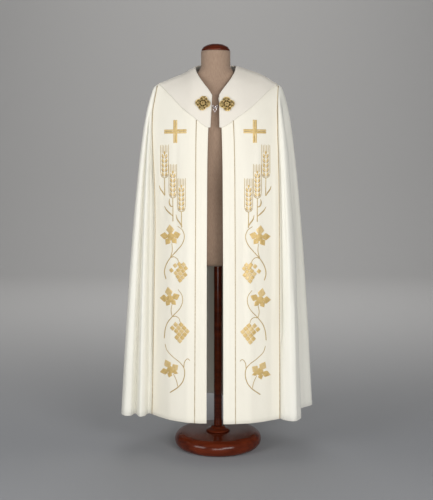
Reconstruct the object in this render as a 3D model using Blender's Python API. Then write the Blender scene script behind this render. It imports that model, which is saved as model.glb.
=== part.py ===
"""A cope vestment standing on a limbless dress form with a turned wooden foot.

Metres, +Z up. The front faces -Y. Right and left are the wearer's, so right is at -X.
The origin is the centre of the foot's flat underside.
"""

import math

import bmesh
import bpy
import numpy as np
from mathutils import Vector
from mathutils.bvhtree import BVHTree

# ---- Driving sizes -------------------------------------------------------------------

CLOTH = 0.0016          # lined cope cloth
COLLAR_CLOTH = 0.0020   # collar with its interlining
SEAM_GAP = 0.0005       # clear gap between neighbouring pieces
HEM_Z = 0.156           # the level hem above the floor
OPENING_X = -0.013      # middle of the front opening
NECK_X = -0.010         # middle of the neckline
BAND_WIDTH = 0.0460     # plain strip along each front edge
NECK_SIDE = 0.087       # half the width of the neckline at the shoulder line
NECK_BACK = 0.068       # how far the neckline stands behind the shoulder line
NECK_BACK_RISE = 0.010
RIDGE_PART = 0.0012     # each side of the shoulder line keeps this far from it
FRONT_EDGE_DEPTH = {"right": 0.208, "left": 0.218}   # at the hem, in front of the axis
FRONT_SEAM_DEPTH = {"right": 0.071, "left": 0.139}
PANEL_BOW = 2.2         # how late a front panel turns back towards its outer seam
SEAM_BLEND = 0.5        # how far the outer seam has taken on the side cloth's fall
COLLAR_BACK_DROP = 0.118    # share of the length that the collar covers at the back
COLLAR_BACK_CURVE = 0.8     # how fast its lower edge falls from the shoulder line to there
COLLAR_LIFT = (0.0038, 0.0038)   # collar above the cloth, at the neckline and the edge
CORD_WIDTH = 0.0034
CORD_HEIGHT = 0.0013
CORD_INSET = 0.0004     # between the outer cord and the panel's edge
CORD_FIRST_ROW = {"inner": 7.75, "outer": 2.0}  # the cords start under the collar's edge

# Rows down the garment. drop is the share of the way from its top edge to the hem.
# front, side and back say how far out the cloth has come by then; half_gap is half the
# front opening; seam_right and seam_left are the outer seams' distances from its middle.
LEVEL_NAMES = ("drop", "front", "side", "back", "half_gap", "seam_right", "seam_left")
LEVELS = (
    (0.000, 0.000, 0.000, 0.000, 0.0080, 0.246, 0.272),
    (0.006, 0.110, 0.075, 0.090, 0.0081, 0.248, 0.271),
    (0.020, 0.230, 0.141, 0.190, 0.0084, 0.251, 0.269),
    (0.045, 0.375, 0.212, 0.310, 0.0090, 0.257, 0.266),
    (0.085, 0.510, 0.292, 0.440, 0.0130, 0.265, 0.264),
    (0.137, 0.620, 0.370, 0.560, 0.0240, 0.267, 0.264),
    (0.200, 0.700, 0.447, 0.650, 0.0290, 0.264, 0.266),
    (0.300, 0.770, 0.548, 0.735, 0.0320, 0.257, 0.269),
    (0.420, 0.830, 0.648, 0.805, 0.0330, 0.254, 0.270),
    (0.560, 0.880, 0.748, 0.865, 0.0340, 0.257, 0.2705),
    (0.700, 0.925, 0.837, 0.915, 0.0343, 0.260, 0.271),
    (0.850, 0.965, 0.922, 0.960, 0.0347, 0.264, 0.2715),
    (1.000, 1.000, 1.000, 1.000, 0.0350, 0.2685, 0.272),
)

# The shoulder line: distance from the neck's middle, and height.
SHOULDER_LINE = ((0.000, 1.637), (0.087, 1.635), (0.136, 1.612), (0.173, 1.599),
                 (0.203, 1.585), (0.232, 1.571), (0.259, 1.556))

# How the line differs on each side: it is hollow on the wearer's right and full on the left.
SHOULDER_LEAN = {
    "right": ((0.087, 0.0), (0.120, -0.0110), (0.160, -0.0100), (0.218, -0.0100), (0.258, 0.0)),
    "left": ((0.087, 0.0), (0.152, 0.0080), (0.217, 0.0095), (0.240, 0.0045), (0.256, 0.0)),
}

# The V of the neckline: distance from the neck's middle, and height.
NECKLINE = ((0.008, 1.496), (0.015, 1.506), (0.026, 1.524), (0.0475, 1.553),
            (0.069, 1.585), (0.082, 1.612), (0.087, 1.635))

# The collar's lower edge in front: distance from the opening's middle, and height.
COLLAR_EDGE = ((0.019, 1.372), (0.030, 1.371), (0.045, 1.379), (0.077, 1.403),
               (0.142, 1.452), (0.207, 1.515), (0.2525, 1.556))

# Folds at the hem, from the right front seam round the back to the left one: a row for
# each crest and valley. top is where that line of cloth leaves the top edge: it climbs the
# right front seam from -1 to -TIP_SHARE, the shoulder tip, then follows the shoulder line
# to 0 in the middle of the back, and goes the same way down the left side. start is how
# far down its fold begins.
FOLD_NAMES = ("name", "x", "y", "top", "start")
FOLDS = (
    ("right seam",            -0.2815, -0.071, -1.000, 0.00),
    ("valley by the seam",    -0.2960, -0.062, -0.985, 0.00),
    ("inner tube front",      -0.3120, -0.100, -0.965, 0.00),
    ("inner tube crest",      -0.3300, -0.110, -0.945, 0.00),
    ("valley between tubes",  -0.3540, -0.064, -0.920, 0.00),
    ("outer tube front",      -0.3720, -0.096, -0.900, 0.00),
    ("outer tube crest",      -0.3960, -0.094, -0.880, 0.00),
    ("outer tube side",       -0.4135, -0.052, -0.860, 0.00),
    ("right side valley 1",   -0.3900,  0.004, -0.835, 0.00),
    ("right side crest 1",    -0.4140,  0.060, -0.800, 0.00),
    ("right side valley 2",   -0.3620,  0.094, -0.750, 0.02),
    ("right side crest 2",    -0.3820,  0.158, -0.690, 0.04),
    ("right back valley 1",   -0.3080,  0.160, -0.590, 0.07),
    ("right back crest 1",    -0.2900,  0.226, -0.480, 0.10),
    ("right back valley 2",   -0.2200,  0.194, -0.380, 0.13),
    ("right back crest 2",    -0.1760,  0.264, -0.260, 0.15),
    ("right back valley 3",   -0.1120,  0.222, -0.160, 0.18),
    ("centre back crest",     -0.0480,  0.276, -0.060, 0.16),
    ("centre back",           -0.0050,  0.262,  0.000, 0.16),
    ("left back valley 3",     0.0560,  0.212,  0.110, 0.18),
    ("left back crest 2",      0.1380,  0.270,  0.230, 0.14),
    ("left back valley 2",     0.1960,  0.210,  0.350, 0.12),
    ("left back crest 1",      0.2620,  0.246,  0.450, 0.10),
    ("left back valley 1",     0.2950,  0.176,  0.560, 0.07),
    ("left side crest 2",      0.3640,  0.190,  0.680, 0.04),
    ("left side valley 2",     0.3580,  0.130,  0.760, 0.02),
    ("rear tube back",         0.4060,  0.116,  0.820, 0.00),
    ("rear tube crest",        0.4160,  0.074,  0.850, 0.00),
    ("rear tube front",        0.3780,  0.034,  0.872, 0.00),
    ("deep valley",            0.3260, -0.020,  0.892, 0.00),
    ("front tube back",        0.3420, -0.080,  0.912, 0.00),
    ("front tube side",        0.3480, -0.132,  0.932, 0.00),
    ("front tube crest",       0.3140, -0.176,  0.955, 0.00),
    ("front tube inner side",  0.2780, -0.160,  0.980, 0.00),
    ("left seam",              0.2590, -0.139,  1.000, 0.00),
)
FOLD_STEPS = 3          # columns from one row of FOLDS to the next
NECK_BACK_SHARE = 0.35  # of the top edge, from the middle of the back to the neck side
TIP_SHARE = 0.85        # of the top edge, from the middle of the back to the shoulder tip
SEAM_OPENS = 0.115      # drop on the front seam from which the side cloth flares freely
GATHER_OPENS = 0.10     # share of a column's length by which its fold has opened
START_BLEND = 0.05      # a fold that begins this far down no longer opens as a gather
FOLD_GROWTH = 0.85      # a fold's depth grows as this power of the way down
BACK_BLEND = 0.35       # of the top edge, over which the side's fall becomes the back's
PLAIN_WEIGHTS = ((-1, 0.25), (0, 0.5), (1, 0.25))   # rows of FOLDS averaged to a plain hem
NORMAL_PASSES = 2       # rounds of drawing each normal towards its neighbours
SEAM_BEHIND = (0.0012, 0.0016)  # the side cloth starts this far beside and behind the seam

# The dress form's body, from its flat underside up: height, half width, half depth,
# how far forward the section's middle is, and its roundness (2 is an ellipse).
FORM = (
    (0.790, 0.165, 0.090, 0.000, 2.1),
    (0.800, 0.188, 0.104, 0.000, 2.1),
    (0.830, 0.196, 0.110, 0.000, 2.1),
    (0.900, 0.200, 0.116, 0.000, 2.1),
    (1.000, 0.190, 0.110, 0.002, 2.1),
    (1.100, 0.168, 0.096, 0.004, 2.1),
    (1.200, 0.180, 0.104, 0.008, 2.1),
    (1.290, 0.200, 0.112, 0.010, 2.1),
    (1.370, 0.212, 0.112, 0.009, 2.1),
    (1.440, 0.222, 0.102, 0.004, 2.0),
    (1.500, 0.226, 0.088, 0.000, 1.8),
    (1.540, 0.212, 0.074, 0.000, 1.5),
    (1.565, 0.182, 0.066, 0.000, 1.4),
    (1.585, 0.140, 0.062, 0.000, 1.5),
    (1.605, 0.095, 0.060, 0.000, 1.8),
    (1.620, 0.072, 0.060, 0.000, 2.0),
    (1.640, 0.063, 0.0605, 0.000, 2.0),
    (1.700, 0.0625, 0.0625, 0.000, 2.0),
)
FORM_SIDES = 32

# Turned profiles: radius and height, from the axis at the bottom to the axis on top.
CAP_PROFILE = ((0.0, 1.7004), (0.0575, 1.7004), (0.0605, 1.7030), (0.0600, 1.7080),
               (0.0530, 1.7180), (0.0380, 1.7270), (0.0190, 1.7315), (0.0, 1.7325))
POLE_RADIUS = 0.0175
POLE_PROFILE = ((0.0, 0.0888), (POLE_RADIUS, 0.0888), (POLE_RADIUS, 0.7896), (0.0, 0.7896))
SOCKET_PROFILE = ((0.0, 0.0654), (0.050, 0.0654), (0.052, 0.0690), (0.046, 0.0740),
                  (0.034, 0.0770), (0.030, 0.0830), (0.027, 0.0884), (0.0, 0.0884))
FOOT_RING = 0.155       # radius of the middle of the foot's rounded rim
FOOT_ROUND = 0.0320     # radius of the rim itself
FOOT_FLAT = 0.150       # radius of the flat underside
FOOT_LEDGE = (0.143, 0.064)     # where the rounded rim ends on top: radius and height
FOOT_TOP = (0.056, 0.065)       # the top's slight rise to its middle
FOOT_ARC_STEPS = 10
FOOT_SIDES = 48
POLE_SIDES = 20
SOCKET_SIDES = 32

# The clasp
ROSETTE_OFFSET = 0.0490     # from the opening's middle to a rosette's middle
ROSETTE_Z = {"right": 1.4700, "left": 1.4665}
ROSETTE_RADIUS = 0.0325
ROSETTE_TURN = {"right": -8.0, "left": 5.0}     # degrees
ROSETTE_SIDES = 48
ROSETTE_RINGS = ((0.97, 0.0), (1.0, 0.0012), (0.96, 0.0026), (0.80, 0.0032), (0.50, 0.0042),
                 (0.22, 0.0046))        # share of the radius, and height
ROSETTE_WAIST = 0.70        # of the radius, where two lobes meet
ROSETTE_LOBE = 0.75         # below 1 the lobes are fuller
ROSETTE_ROUND = 0.3         # rings within this share of the radius are plain circles
ROSETTE_LIFT = 0.0074   # its back above the front panel's middle surface
ROSETTE_PROBE = 0.01    # the panel's slope is taken over this distance
STUD_RADIUS = 0.0060
STUD_HEIGHT = 0.0034
STUD_RINGS = ((1.0, 0.0), (0.9, 0.45), (0.5, 0.85))     # shares of the radius and height
STUD_SIDES = 16
LINK_RADIUS = 0.0040    # to the middle of the wire
LINK_WIRE = 0.00075
LINK_GAP = 0.0004
CHAIN_LINKS = 3         # in each run
RING_RADIUS = 0.0062
RING_WIRE = 0.0009
RING_TURNS = 20
RING_BELOW = 0.0235     # the ring's middle below the rosettes' eyes
DROP_RADIUS = 0.0030
DROP_SHOULDER = 0.7     # of its radius, half way to each end
DROP_SIDES = 12
EYE_GAP = 0.0006        # between a rosette and the first link beside it
CHAIN_FORWARD = 0.0030  # the chain hangs this far in front of the rosettes' backs


# ---- Materials -----------------------------------------------------------------------

def material(name, colour, roughness, metallic=0.0):
    made = bpy.data.materials.new(name)
    made.use_nodes = True
    shader = made.node_tree.nodes["Principled BSDF"]
    shader.inputs["Base Color"].default_value = (*colour, 1.0)
    shader.inputs["Roughness"].default_value = roughness
    shader.inputs["Metallic"].default_value = metallic
    return made


def all_materials():
    return {
        "ivory_cloth": material("ivory_cloth", (0.86, 0.82, 0.72), 0.75),
        "panel_cloth": material("panel_cloth", (0.88, 0.84, 0.75), 0.65),
        "collar_cloth": material("collar_cloth", (0.84, 0.80, 0.71), 0.75),
        "gold_cord": material("gold_cord", (0.55, 0.40, 0.18), 0.5),
        "antique_gold": material("antique_gold", (0.60, 0.42, 0.14), 0.3, 1.0),
        "silver": material("silver", (0.62, 0.58, 0.56), 0.3, 1.0),
        "form_linen": material("form_linen", (0.42, 0.32, 0.25), 0.85),
        "mahogany": material("mahogany", (0.13, 0.030, 0.012), 0.22),
    }


# ---- Making solids -------------------------------------------------------------------

def add_object(name, points, faces, finish, smooth=True):
    """One closed body with its faces pointing out, from points and polygons."""
    mesh = bpy.data.meshes.new(name)
    mesh.from_pydata([tuple(float(c) for c in p) for p in points], [], faces)
    shell = bmesh.new()
    shell.from_mesh(mesh)
    bmesh.ops.recalc_face_normals(shell, faces=shell.faces)
    if shell.calc_volume(signed=True) < 0:
        bmesh.ops.reverse_faces(shell, faces=shell.faces)
    shell.to_mesh(mesh)
    shell.free()
    mesh.materials.append(finish)
    if smooth:
        mesh.shade_smooth()
        mesh.set_sharp_from_angle(angle=math.radians(35))
    placed = bpy.data.objects.new(name, mesh)
    bpy.context.scene.collection.objects.link(placed)
    return placed


def wall(name, outer, inner, finish):
    """A cloth wall between two grids of points with the same rows and columns."""
    rows, columns = outer.shape[:2]
    count = rows * columns
    points = np.concatenate([outer.reshape(-1, 3), inner.reshape(-1, 3)])

    def index(row, column, side):
        return side * count + row * columns + column

    faces = []
    for row in range(rows - 1):
        for column in range(columns - 1):
            # Both sides are split along the same diagonal, so a twisted wall never crosses itself.
            corners = ((row, column), (row, column + 1), (row + 1, column + 1), (row + 1, column))
            for half in (corners[:3], corners[2:] + corners[:1]):
                faces.append([index(r, c, 0) for r, c in half])
                faces.append([index(r, c, 1) for r, c in reversed(half)])
    rim = [(0, c) for c in range(columns)]
    rim += [(r, columns - 1) for r in range(1, rows)]
    rim += [(rows - 1, c) for c in range(columns - 2, -1, -1)]
    rim += [(r, 0) for r in range(rows - 2, 0, -1)]
    for here, there in zip(rim, rim[1:] + rim[:1]):
        faces.append([index(*there, 0), index(*here, 0), index(*here, 1), index(*there, 1)])
    return add_object(name, points, faces, finish)


def turned(name, profile, sides, finish, centre=(0.0, 0.0, 0.0)):
    """A solid of revolution about a vertical line, closed by its two axis points."""
    points = [Vector((centre[0], centre[1], centre[2] + profile[0][1]))]
    for radius, height in profile[1:-1]:
        for step in range(sides):
            angle = 2 * math.pi * step / sides
            spoke = Vector((radius * math.cos(angle), radius * math.sin(angle), height))
            points.append(Vector(centre) + spoke)
    points.append(Vector((centre[0], centre[1], centre[2] + profile[-1][1])))
    return add_object(name, points, ring_faces(len(profile) - 2, sides), finish)


def ring_faces(rings, sides):
    """Faces of a stack of rings closed by a point below and a point on top."""
    faces = []
    last = 1 + rings * sides
    for step in range(sides):
        after = (step + 1) % sides
        faces.append([0, 1 + after, 1 + step])
        for ring in range(rings - 1):
            low = 1 + ring * sides
            faces.append([low + step, low + after, low + sides + after, low + sides + step])
        top = 1 + (rings - 1) * sides
        faces.append([top + step, top + after, last])
    return faces


def torus(name, centre, along, across, radius, wire, finish, turns=12, sides=5):
    """A ring of wire in the plane of two unit vectors."""
    out = along.cross(across)
    points = []
    faces = []
    for turn in range(turns):
        angle = 2 * math.pi * turn / turns
        spoke = along * math.cos(angle) + across * math.sin(angle)
        for side in range(sides):
            roll = 2 * math.pi * side / sides
            points.append(centre + spoke * (radius + wire * math.cos(roll)) + out * (wire * math.sin(roll)))
            after_turn = (turn + 1) % turns
            after_side = (side + 1) % sides
            faces.append([turn * sides + side, after_turn * sides + side,
                          after_turn * sides + after_side, turn * sides + after_side])
    return add_object(name, points, faces, finish)


# ---- Smooth tables -------------------------------------------------------------------

def smooth_table(places, values, wanted):
    """A smooth curve through a table that never swings past its own values."""
    places = np.asarray(places, float)
    values = np.asarray(values, float)
    wanted = np.clip(np.asarray(wanted, float), places[0], places[-1])
    steps = np.diff(places)
    slopes = np.diff(values) / steps
    tangents = np.zeros(len(places))
    tangents[0] = slopes[0]
    tangents[-1] = slopes[-1]
    for i in range(1, len(places) - 1):
        if slopes[i - 1] * slopes[i] > 0:
            before = 2 * steps[i] + steps[i - 1]
            after = steps[i] + 2 * steps[i - 1]
            tangents[i] = (before + after) / (before / slopes[i - 1] + after / slopes[i])
    at = np.clip(np.searchsorted(places, wanted, side="right") - 1, 0, len(steps) - 1)
    s = (wanted - places[at]) / steps[at]
    return ((1 + 2 * s) * (1 - s) ** 2 * values[at] + s * (1 - s) ** 2 * steps[at] * tangents[at]
            + s * s * (3 - 2 * s) * values[at + 1] + s * s * (s - 1) * steps[at] * tangents[at + 1])


def level(column, drop):
    at = LEVEL_NAMES.index(column)
    return smooth_table([row[0] for row in LEVELS], [row[at] for row in LEVELS], drop)


def pairs(table, wanted):
    return smooth_table([row[0] for row in table], [row[1] for row in table], wanted)


def fold_outline():
    """The hem's crests and valleys, and their places along a curve of even tension."""
    x, y = (FOLD_NAMES.index(column) for column in ("x", "y"))
    points = np.array([(row[x], row[y]) for row in FOLDS])
    knots = np.concatenate([[0.0], np.cumsum(np.linalg.norm(np.diff(points, axis=0), axis=1) ** 0.5)])
    steps = np.diff(knots)[:, None]
    slopes = np.diff(points, axis=0) / steps
    tangents = np.empty_like(points)
    tangents[1:-1] = (slopes[:-1] * steps[1:] + slopes[1:] * steps[:-1]) / (steps[:-1] + steps[1:])
    tangents[0] = slopes[0]
    tangents[-1] = slopes[-1]
    return points, steps, tangents


def hem_curve(places):
    """The hem at places counted in rows of FOLDS."""
    points, steps, tangents = fold_outline()
    start = np.clip(np.floor(places).astype(int), 0, len(points) - 2)
    s = (places - start)[..., None]
    step = steps[start]
    return ((1 + 2 * s) * (1 - s) ** 2 * points[start] + s * (1 - s) ** 2 * step * tangents[start]
            + s * s * (3 - 2 * s) * points[start + 1] + s * s * (s - 1) * step * tangents[start + 1])


def fold_table(column, places):
    at = FOLD_NAMES.index(column)
    return np.interp(places, np.arange(len(FOLDS)), [row[at] for row in FOLDS])


# ---- The garment's surface -----------------------------------------------------------

SIDE_SIGN = {"right": -1.0, "left": 1.0}


def shoulder_height(x):
    away = np.abs(x - NECK_X)
    lean = np.where(x < NECK_X, pairs(SHOULDER_LEAN["right"], away), pairs(SHOULDER_LEAN["left"], away))
    return pairs(SHOULDER_LINE, away) + lean


def front_column(side, share, drop):
    """Points of a front panel: share 0 at the opening and 1 at the outer seam."""
    share, drop = np.broadcast_arrays(np.asarray(share, float), np.asarray(drop, float))
    sign = SIDE_SIGN[side]
    edge = level("half_gap", drop)
    seam = level("seam_" + side, drop)
    x = OPENING_X + sign * (edge + share * (seam - edge))
    top_edge = level("half_gap", 0.0)
    top_x = OPENING_X + sign * (top_edge + share * (level("seam_" + side, 0.0) - top_edge))
    top_z = shoulder_height(top_x)
    turn = np.clip(share, 0, 1) ** PANEL_BOW
    depth = FRONT_EDGE_DEPTH[side] + (FRONT_SEAM_DEPTH[side] - FRONT_EDGE_DEPTH[side]) * turn
    blend = SEAM_BLEND * turn
    out = level("front", drop) * (1 - blend) + level("side", drop) * blend
    z = top_z + (HEM_Z - top_z) * drop
    return np.stack([x, -RIDGE_PART - (depth - RIDGE_PART) * out, z], axis=-1)


def front_share(side, distance, drop):
    """Share across the front panel of a line this far from the opening's middle."""
    edge = level("half_gap", drop)
    return (distance - edge) / (level("seam_" + side, drop) - edge)


def front_start(side, share):
    """Drop at which a front column leaves the neckline, 0 from the neck side outwards."""
    edge = level("half_gap", 0.0)
    top_x = OPENING_X + SIDE_SIGN[side] * (edge + share * (level("seam_" + side, 0.0) - edge))
    away = np.abs(top_x - NECK_X)
    ridge = shoulder_height(top_x)
    cut = np.where(away < NECK_SIDE, pairs(NECKLINE, away), ridge)
    return np.maximum((ridge - cut) / (ridge - HEM_Z), 0.0)


def front_drop(side, distance, height):
    """The drop at which the front is at this height, this far from the opening's middle."""
    drop = np.full(np.shape(height), 0.1)
    for _ in range(8):
        top = front_column(side, front_share(side, distance, drop), 0.0)[..., 2]
        drop = np.clip((top - height) / (top - HEM_Z), 0.0, 1.0)
    return drop


def front_at(side, distance, drop):
    return front_column(side, front_share(side, distance, drop), drop)


def front_point(side, distance, height):
    """The front surface at a distance from the opening's middle and a height."""
    return front_at(side, distance, front_drop(side, distance, height))


def seam_line(side, drop):
    """The side cloth's edge along a front seam, a little beside and behind the panel."""
    line = front_column(side, 1.0, drop)
    return line + np.array([SIDE_SIGN[side] * SEAM_BEHIND[0], SEAM_BEHIND[1], 0.0])


def top_edge(top):
    """The top edge: round the neck, along the shoulder line and down the front seam."""
    top = np.asarray(top, float)
    sign = np.where(top < 0, -1.0, 1.0)
    along = np.abs(top)
    swing = np.clip(along / NECK_BACK_SHARE, 0, 1) * math.pi / 2
    ridge = np.clip((along - NECK_BACK_SHARE) / (TIP_SHARE - NECK_BACK_SHARE), 0, 1)
    down = np.clip((along - TIP_SHARE) / (1 - TIP_SHARE), 0, 1) * SEAM_OPENS
    seam = np.where((sign < 0)[..., None], seam_line("right", down), seam_line("left", down))
    tip_x = np.where(sign < 0, seam_line("right", 0.0)[0], seam_line("left", 0.0)[0])
    away = NECK_SIDE * np.sin(swing) + (np.abs(tip_x - NECK_X) - NECK_SIDE) * ridge
    x = NECK_X + sign * away
    y = RIDGE_PART + NECK_BACK * np.cos(swing)
    z = shoulder_height(x) + NECK_BACK_RISE * np.cos(swing)
    over = np.stack([x, y, z], axis=-1)
    return np.where((along > TIP_SHARE)[..., None], seam, over)


def ease(amount):
    amount = np.clip(amount, 0, 1)
    return amount * amount * (3 - 2 * amount)


def body_column(place, share):
    """Points of the side and back cloth: place counts rows of FOLDS, share runs down."""
    place, share = np.broadcast_arrays(np.asarray(place, float), np.asarray(share, float))
    top = fold_table("top", place)
    start = fold_table("start", place)
    begin = top_edge(top)
    hem = hem_curve(place)
    last = len(FOLDS) - 1
    plain = sum(weight * hem_curve(np.clip(place + step, 0, last)) for step, weight in PLAIN_WEIGHTS)
    back = ease((TIP_SHARE - np.abs(top)) / BACK_BLEND)
    out = level("side", share) * (1 - back) + level("back", share) * back
    gathered = out * ease(share / GATHER_OPENS)
    hanging = np.clip((share - start) / (1 - start), 0, 1) ** FOLD_GROWTH
    fold = gathered + (hanging - gathered) * ease(start / START_BLEND)
    xy = begin[..., :2] + (plain - begin[..., :2]) * out[..., None] + (hem - plain) * fold[..., None]
    z = begin[..., 2] + (HEM_Z - begin[..., 2]) * share
    points = np.concatenate([xy, z[..., None]], axis=-1)
    for end, side in ((0.0, "right"), (float(last), "left")):
        near_seam = ease(1 - np.abs(place - end))[..., None]
        if np.any(near_seam > 0):
            drop = SEAM_OPENS + (1 - SEAM_OPENS) * share
            points = points + (seam_line(side, drop) - points) * near_seam
    return points


# ---- One grid of columns round the whole garment -------------------------------------

ROW_SHARES = (0.0, 0.003, 0.009, 0.018, 0.032, 0.052, 0.078, 0.112, 0.160, 0.225, 0.330,
              0.500, 0.730, 1.0)
BAND_COLUMNS = 4
NECK_COLUMNS = 5
ORPHREY_COLUMNS = 6


def front_columns(side):
    """Columns of one front, from the opening to the outer seam, and the piece of each."""
    rows = np.array(ROW_SHARES)
    edge = level("half_gap", 0.0)
    seam_share = BAND_WIDTH / (level("seam_right", 0.5) - level("half_gap", 0.5))
    neck_side = NECK_SIDE + SIDE_SIGN[side] * (NECK_X - OPENING_X)
    neck_share = (neck_side - edge) / (level("seam_" + side, 0.0) - edge)
    columns = []
    names = []
    # Columns crowd under the neckline's steep end and stand wider from the neck side out.
    for name, low, high, count, crowd in (("front_band_", 0.0, seam_share, BAND_COLUMNS, 1),
                                          ("orphrey_", seam_share, neck_share, NECK_COLUMNS, 2),
                                          ("orphrey_", neck_share, 1.0, ORPHREY_COLUMNS, 1)):
        first = 1 if low == neck_share else 0
        for step in np.linspace(0, 1, count + 1)[first:]:
            share = low + (high - low) * (1 - (1 - step) ** crowd)
            start = float(front_start(side, share))
            columns.append(front_column(side, share, start + (1 - start) * rows))
            names.append(name + side)
    if side == "left":
        columns.reverse()
        names.reverse()
    return np.stack(columns, axis=1), names


def body_columns():
    """Columns of the side and back cloth, from the right seam to the left one."""
    middle = [row[0] for row in FOLDS].index("centre back")
    last = len(FOLDS) - 1
    columns = []
    names = []
    for low, high, name in ((0, middle, "body_right"), (middle, last, "body_left")):
        for place in np.linspace(low, high, FOLD_STEPS * (high - low) + 1):
            columns.append(body_column(place, np.array(ROW_SHARES)))
            names.append(name)
    return np.stack(columns, axis=1), names


def outward(grid, names=None):
    """Unit normals of a grid, taken across the seams where neighbouring pieces meet."""
    count = grid.shape[1]
    names = names or [""] * count
    before = np.maximum(np.arange(count) - 1, 0)
    after = np.minimum(np.arange(count) + 1, count - 1)
    for column in range(count - 1):
        if names[column] != names[column + 1]:
            after[column] = column + 2
            before[column + 1] = column - 1
    across = grid[:, after] - grid[:, before]
    down = np.empty_like(grid)
    down[1:-1] = grid[2:] - grid[:-2]
    down[0] = grid[1] - grid[0]
    down[-1] = grid[-1] - grid[-2]
    normals = np.cross(across, down)
    normals /= np.linalg.norm(normals, axis=-1, keepdims=True)
    # Each is drawn towards its neighbours in the same piece, so a sharp corner's wall fans evenly.
    for _ in range(NORMAL_PASSES):
        eased = 2 * normals
        eased[1:] += normals[:-1]
        eased[:-1] += normals[1:]
        for column in range(count):
            for beside in (column - 1, column + 1):
                if 0 <= beside < count and names[beside] == names[column]:
                    eased[:, column] += normals[:, beside]
        normals = eased / np.linalg.norm(eased, axis=-1, keepdims=True)
    return normals


def cut_pieces(grid, names, finish):
    """Cut a grid into its named walls, apart by the seam gap; returns their middles."""
    normals = outward(grid, names)
    shifted = grid.copy()
    for column in range(len(names) - 1):
        if names[column] != names[column + 1]:
            for edge, inside in ((column, column - 1), (column + 1, column + 2)):
                step = grid[:, inside] - grid[:, edge]
                shifted[:, edge] += step / np.linalg.norm(step, axis=-1, keepdims=True) * SEAM_GAP / 2
    pieces = {}
    for name in dict.fromkeys(names):
        chosen = [column for column, piece in enumerate(names) if piece == name]
        middle, out = shifted[:, chosen], normals[:, chosen]
        wall(name, middle + out * CLOTH / 2, middle - out * CLOTH / 2, finish)
        pieces[name] = (grid[:, chosen], out)
    return pieces


def build_cloth(finishes):
    pieces = {}
    for side in SIDE_SIGN:
        pieces.update(cut_pieces(*front_columns(side), finishes["panel_cloth"]))
    pieces.update(cut_pieces(*body_columns(), finishes["ivory_cloth"]))
    return pieces


# ---- Collar, cords -------------------------------------------------------------------

COLLAR_FRONT_COLUMNS = 12
COLLAR_BACK_COLUMNS = 14
COLLAR_ROWS = 10
COLLAR_TIP_SHARE = 0.965    # of the top edge as far as the shoulder tip
COLLAR_GAP = 0.0007         # least clear gap between the collar and the cloth under it
COLLAR_REACH = 0.018        # how far from the collar the cloth is looked for
COLLAR_PROBES = 6           # probes along each edge of a face
COLLAR_PASSES = 10


def collar_grid():
    """The collar's columns, from the right front edge round the neck to the left one."""
    rows = np.linspace(0, 1, COLLAR_ROWS + 1)
    halves = {}
    for side, sign in SIDE_SIGN.items():
        columns = []
        tip = COLLAR_TIP_SHARE * TIP_SHARE
        ridge = top_edge(sign * (NECK_BACK_SHARE + (tip - NECK_BACK_SHARE) * rows))
        ridge[:, 1] = 0.0
        tip_distance = abs(ridge[-1, 0] - OPENING_X)
        tip_rise = ridge[-1, 2] - COLLAR_EDGE[-1][1]
        # Columns crowd towards the shoulder line, where the cloth turns over most sharply.
        for step in 1 - (1 - np.linspace(0, 1, COLLAR_FRONT_COLUMNS + 1)[:-1]) ** 2:
            away = NECKLINE[1][0] + (NECK_SIDE - NECKLINE[1][0]) * step
            top = away - sign * (OPENING_X - NECK_X)
            low = COLLAR_EDGE[0][0] + (tip_distance - COLLAR_EDGE[0][0]) * step
            edge = COLLAR_EDGE[0][0] + (COLLAR_EDGE[-1][0] - COLLAR_EDGE[0][0]) * step
            top_drop = front_drop(side, top, pairs(NECKLINE, away))
            low_drop = front_drop(side, low, pairs(COLLAR_EDGE, edge) + tip_rise * step ** 2)
            columns.append(front_at(side, top + (low - top) * rows,
                                    top_drop + (low_drop - top_drop) * rows))
        columns.append(ridge)
        for step in np.linspace(0, 1, COLLAR_BACK_COLUMNS + 1)[1:] ** 2:
            top = NECK_BACK_SHARE * (1 - step)
            low = tip * (1 - step)
            drop = COLLAR_BACK_DROP * math.sin(step * math.pi / 2) ** COLLAR_BACK_CURVE
            columns.append(back_point(sign * (top + (low - top) * rows), drop * rows))
        halves[side] = columns
    return np.stack(halves["right"] + halves["left"][-2::-1], axis=1)


def back_point(top, drop):
    """The back surface under a place on the top edge."""
    tops = np.array([row[FOLD_NAMES.index("top")] for row in FOLDS])
    place = np.interp(top, tops, np.arange(len(FOLDS)))
    return body_column(place, drop)


def tree_of(names):
    """All the faces of some named objects, for finding what lies under a point."""
    points = []
    faces = []
    for name in names:
        mesh = bpy.data.objects[name].data
        mesh.calc_loop_triangles()
        first = len(points)
        points += [vertex.co.copy() for vertex in mesh.vertices]
        faces += [[first + i for i in triangle.vertices] for triangle in mesh.loop_triangles]
    return BVHTree.FromPolygons(points, faces)


def settle(outer, inner, out, cloth):
    """Move a wall's points out until its underside clears the cloth by the collar's gap."""
    steps = range(COLLAR_PROBES + 1)
    rows, columns = inner.shape[:2]
    for _ in range(COLLAR_PASSES):
        push = np.zeros((rows, columns))
        for row in range(rows - 1):
            for column in range(columns - 1):
                corners = ((row, column), (row, column + 1), (row + 1, column + 1), (row + 1, column))
                for half in (corners[:3], corners[2:] + corners[:1]):
                    for i in steps:
                        for j in range(COLLAR_PROBES + 1 - i):
                            k = COLLAR_PROBES - i - j
                            place = sum(w * inner[c] for w, c in zip((i, j, k), half)) / COLLAR_PROBES
                            way = sum(w * out[c] for w, c in zip((i, j, k), half))
                            way = Vector(way).normalized()
                            hit = cloth.ray_cast(Vector(place) + way * COLLAR_REACH, -way, 2 * COLLAR_REACH)
                            if hit[0] is None:
                                continue
                            short = COLLAR_GAP + COLLAR_REACH - hit[3]
                            for corner in half:
                                push[corner] = max(push[corner], short)
        if not push.any():
            break
        outer = outer + out * push[..., None]
        inner = inner + out * push[..., None]
    return outer, inner


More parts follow.
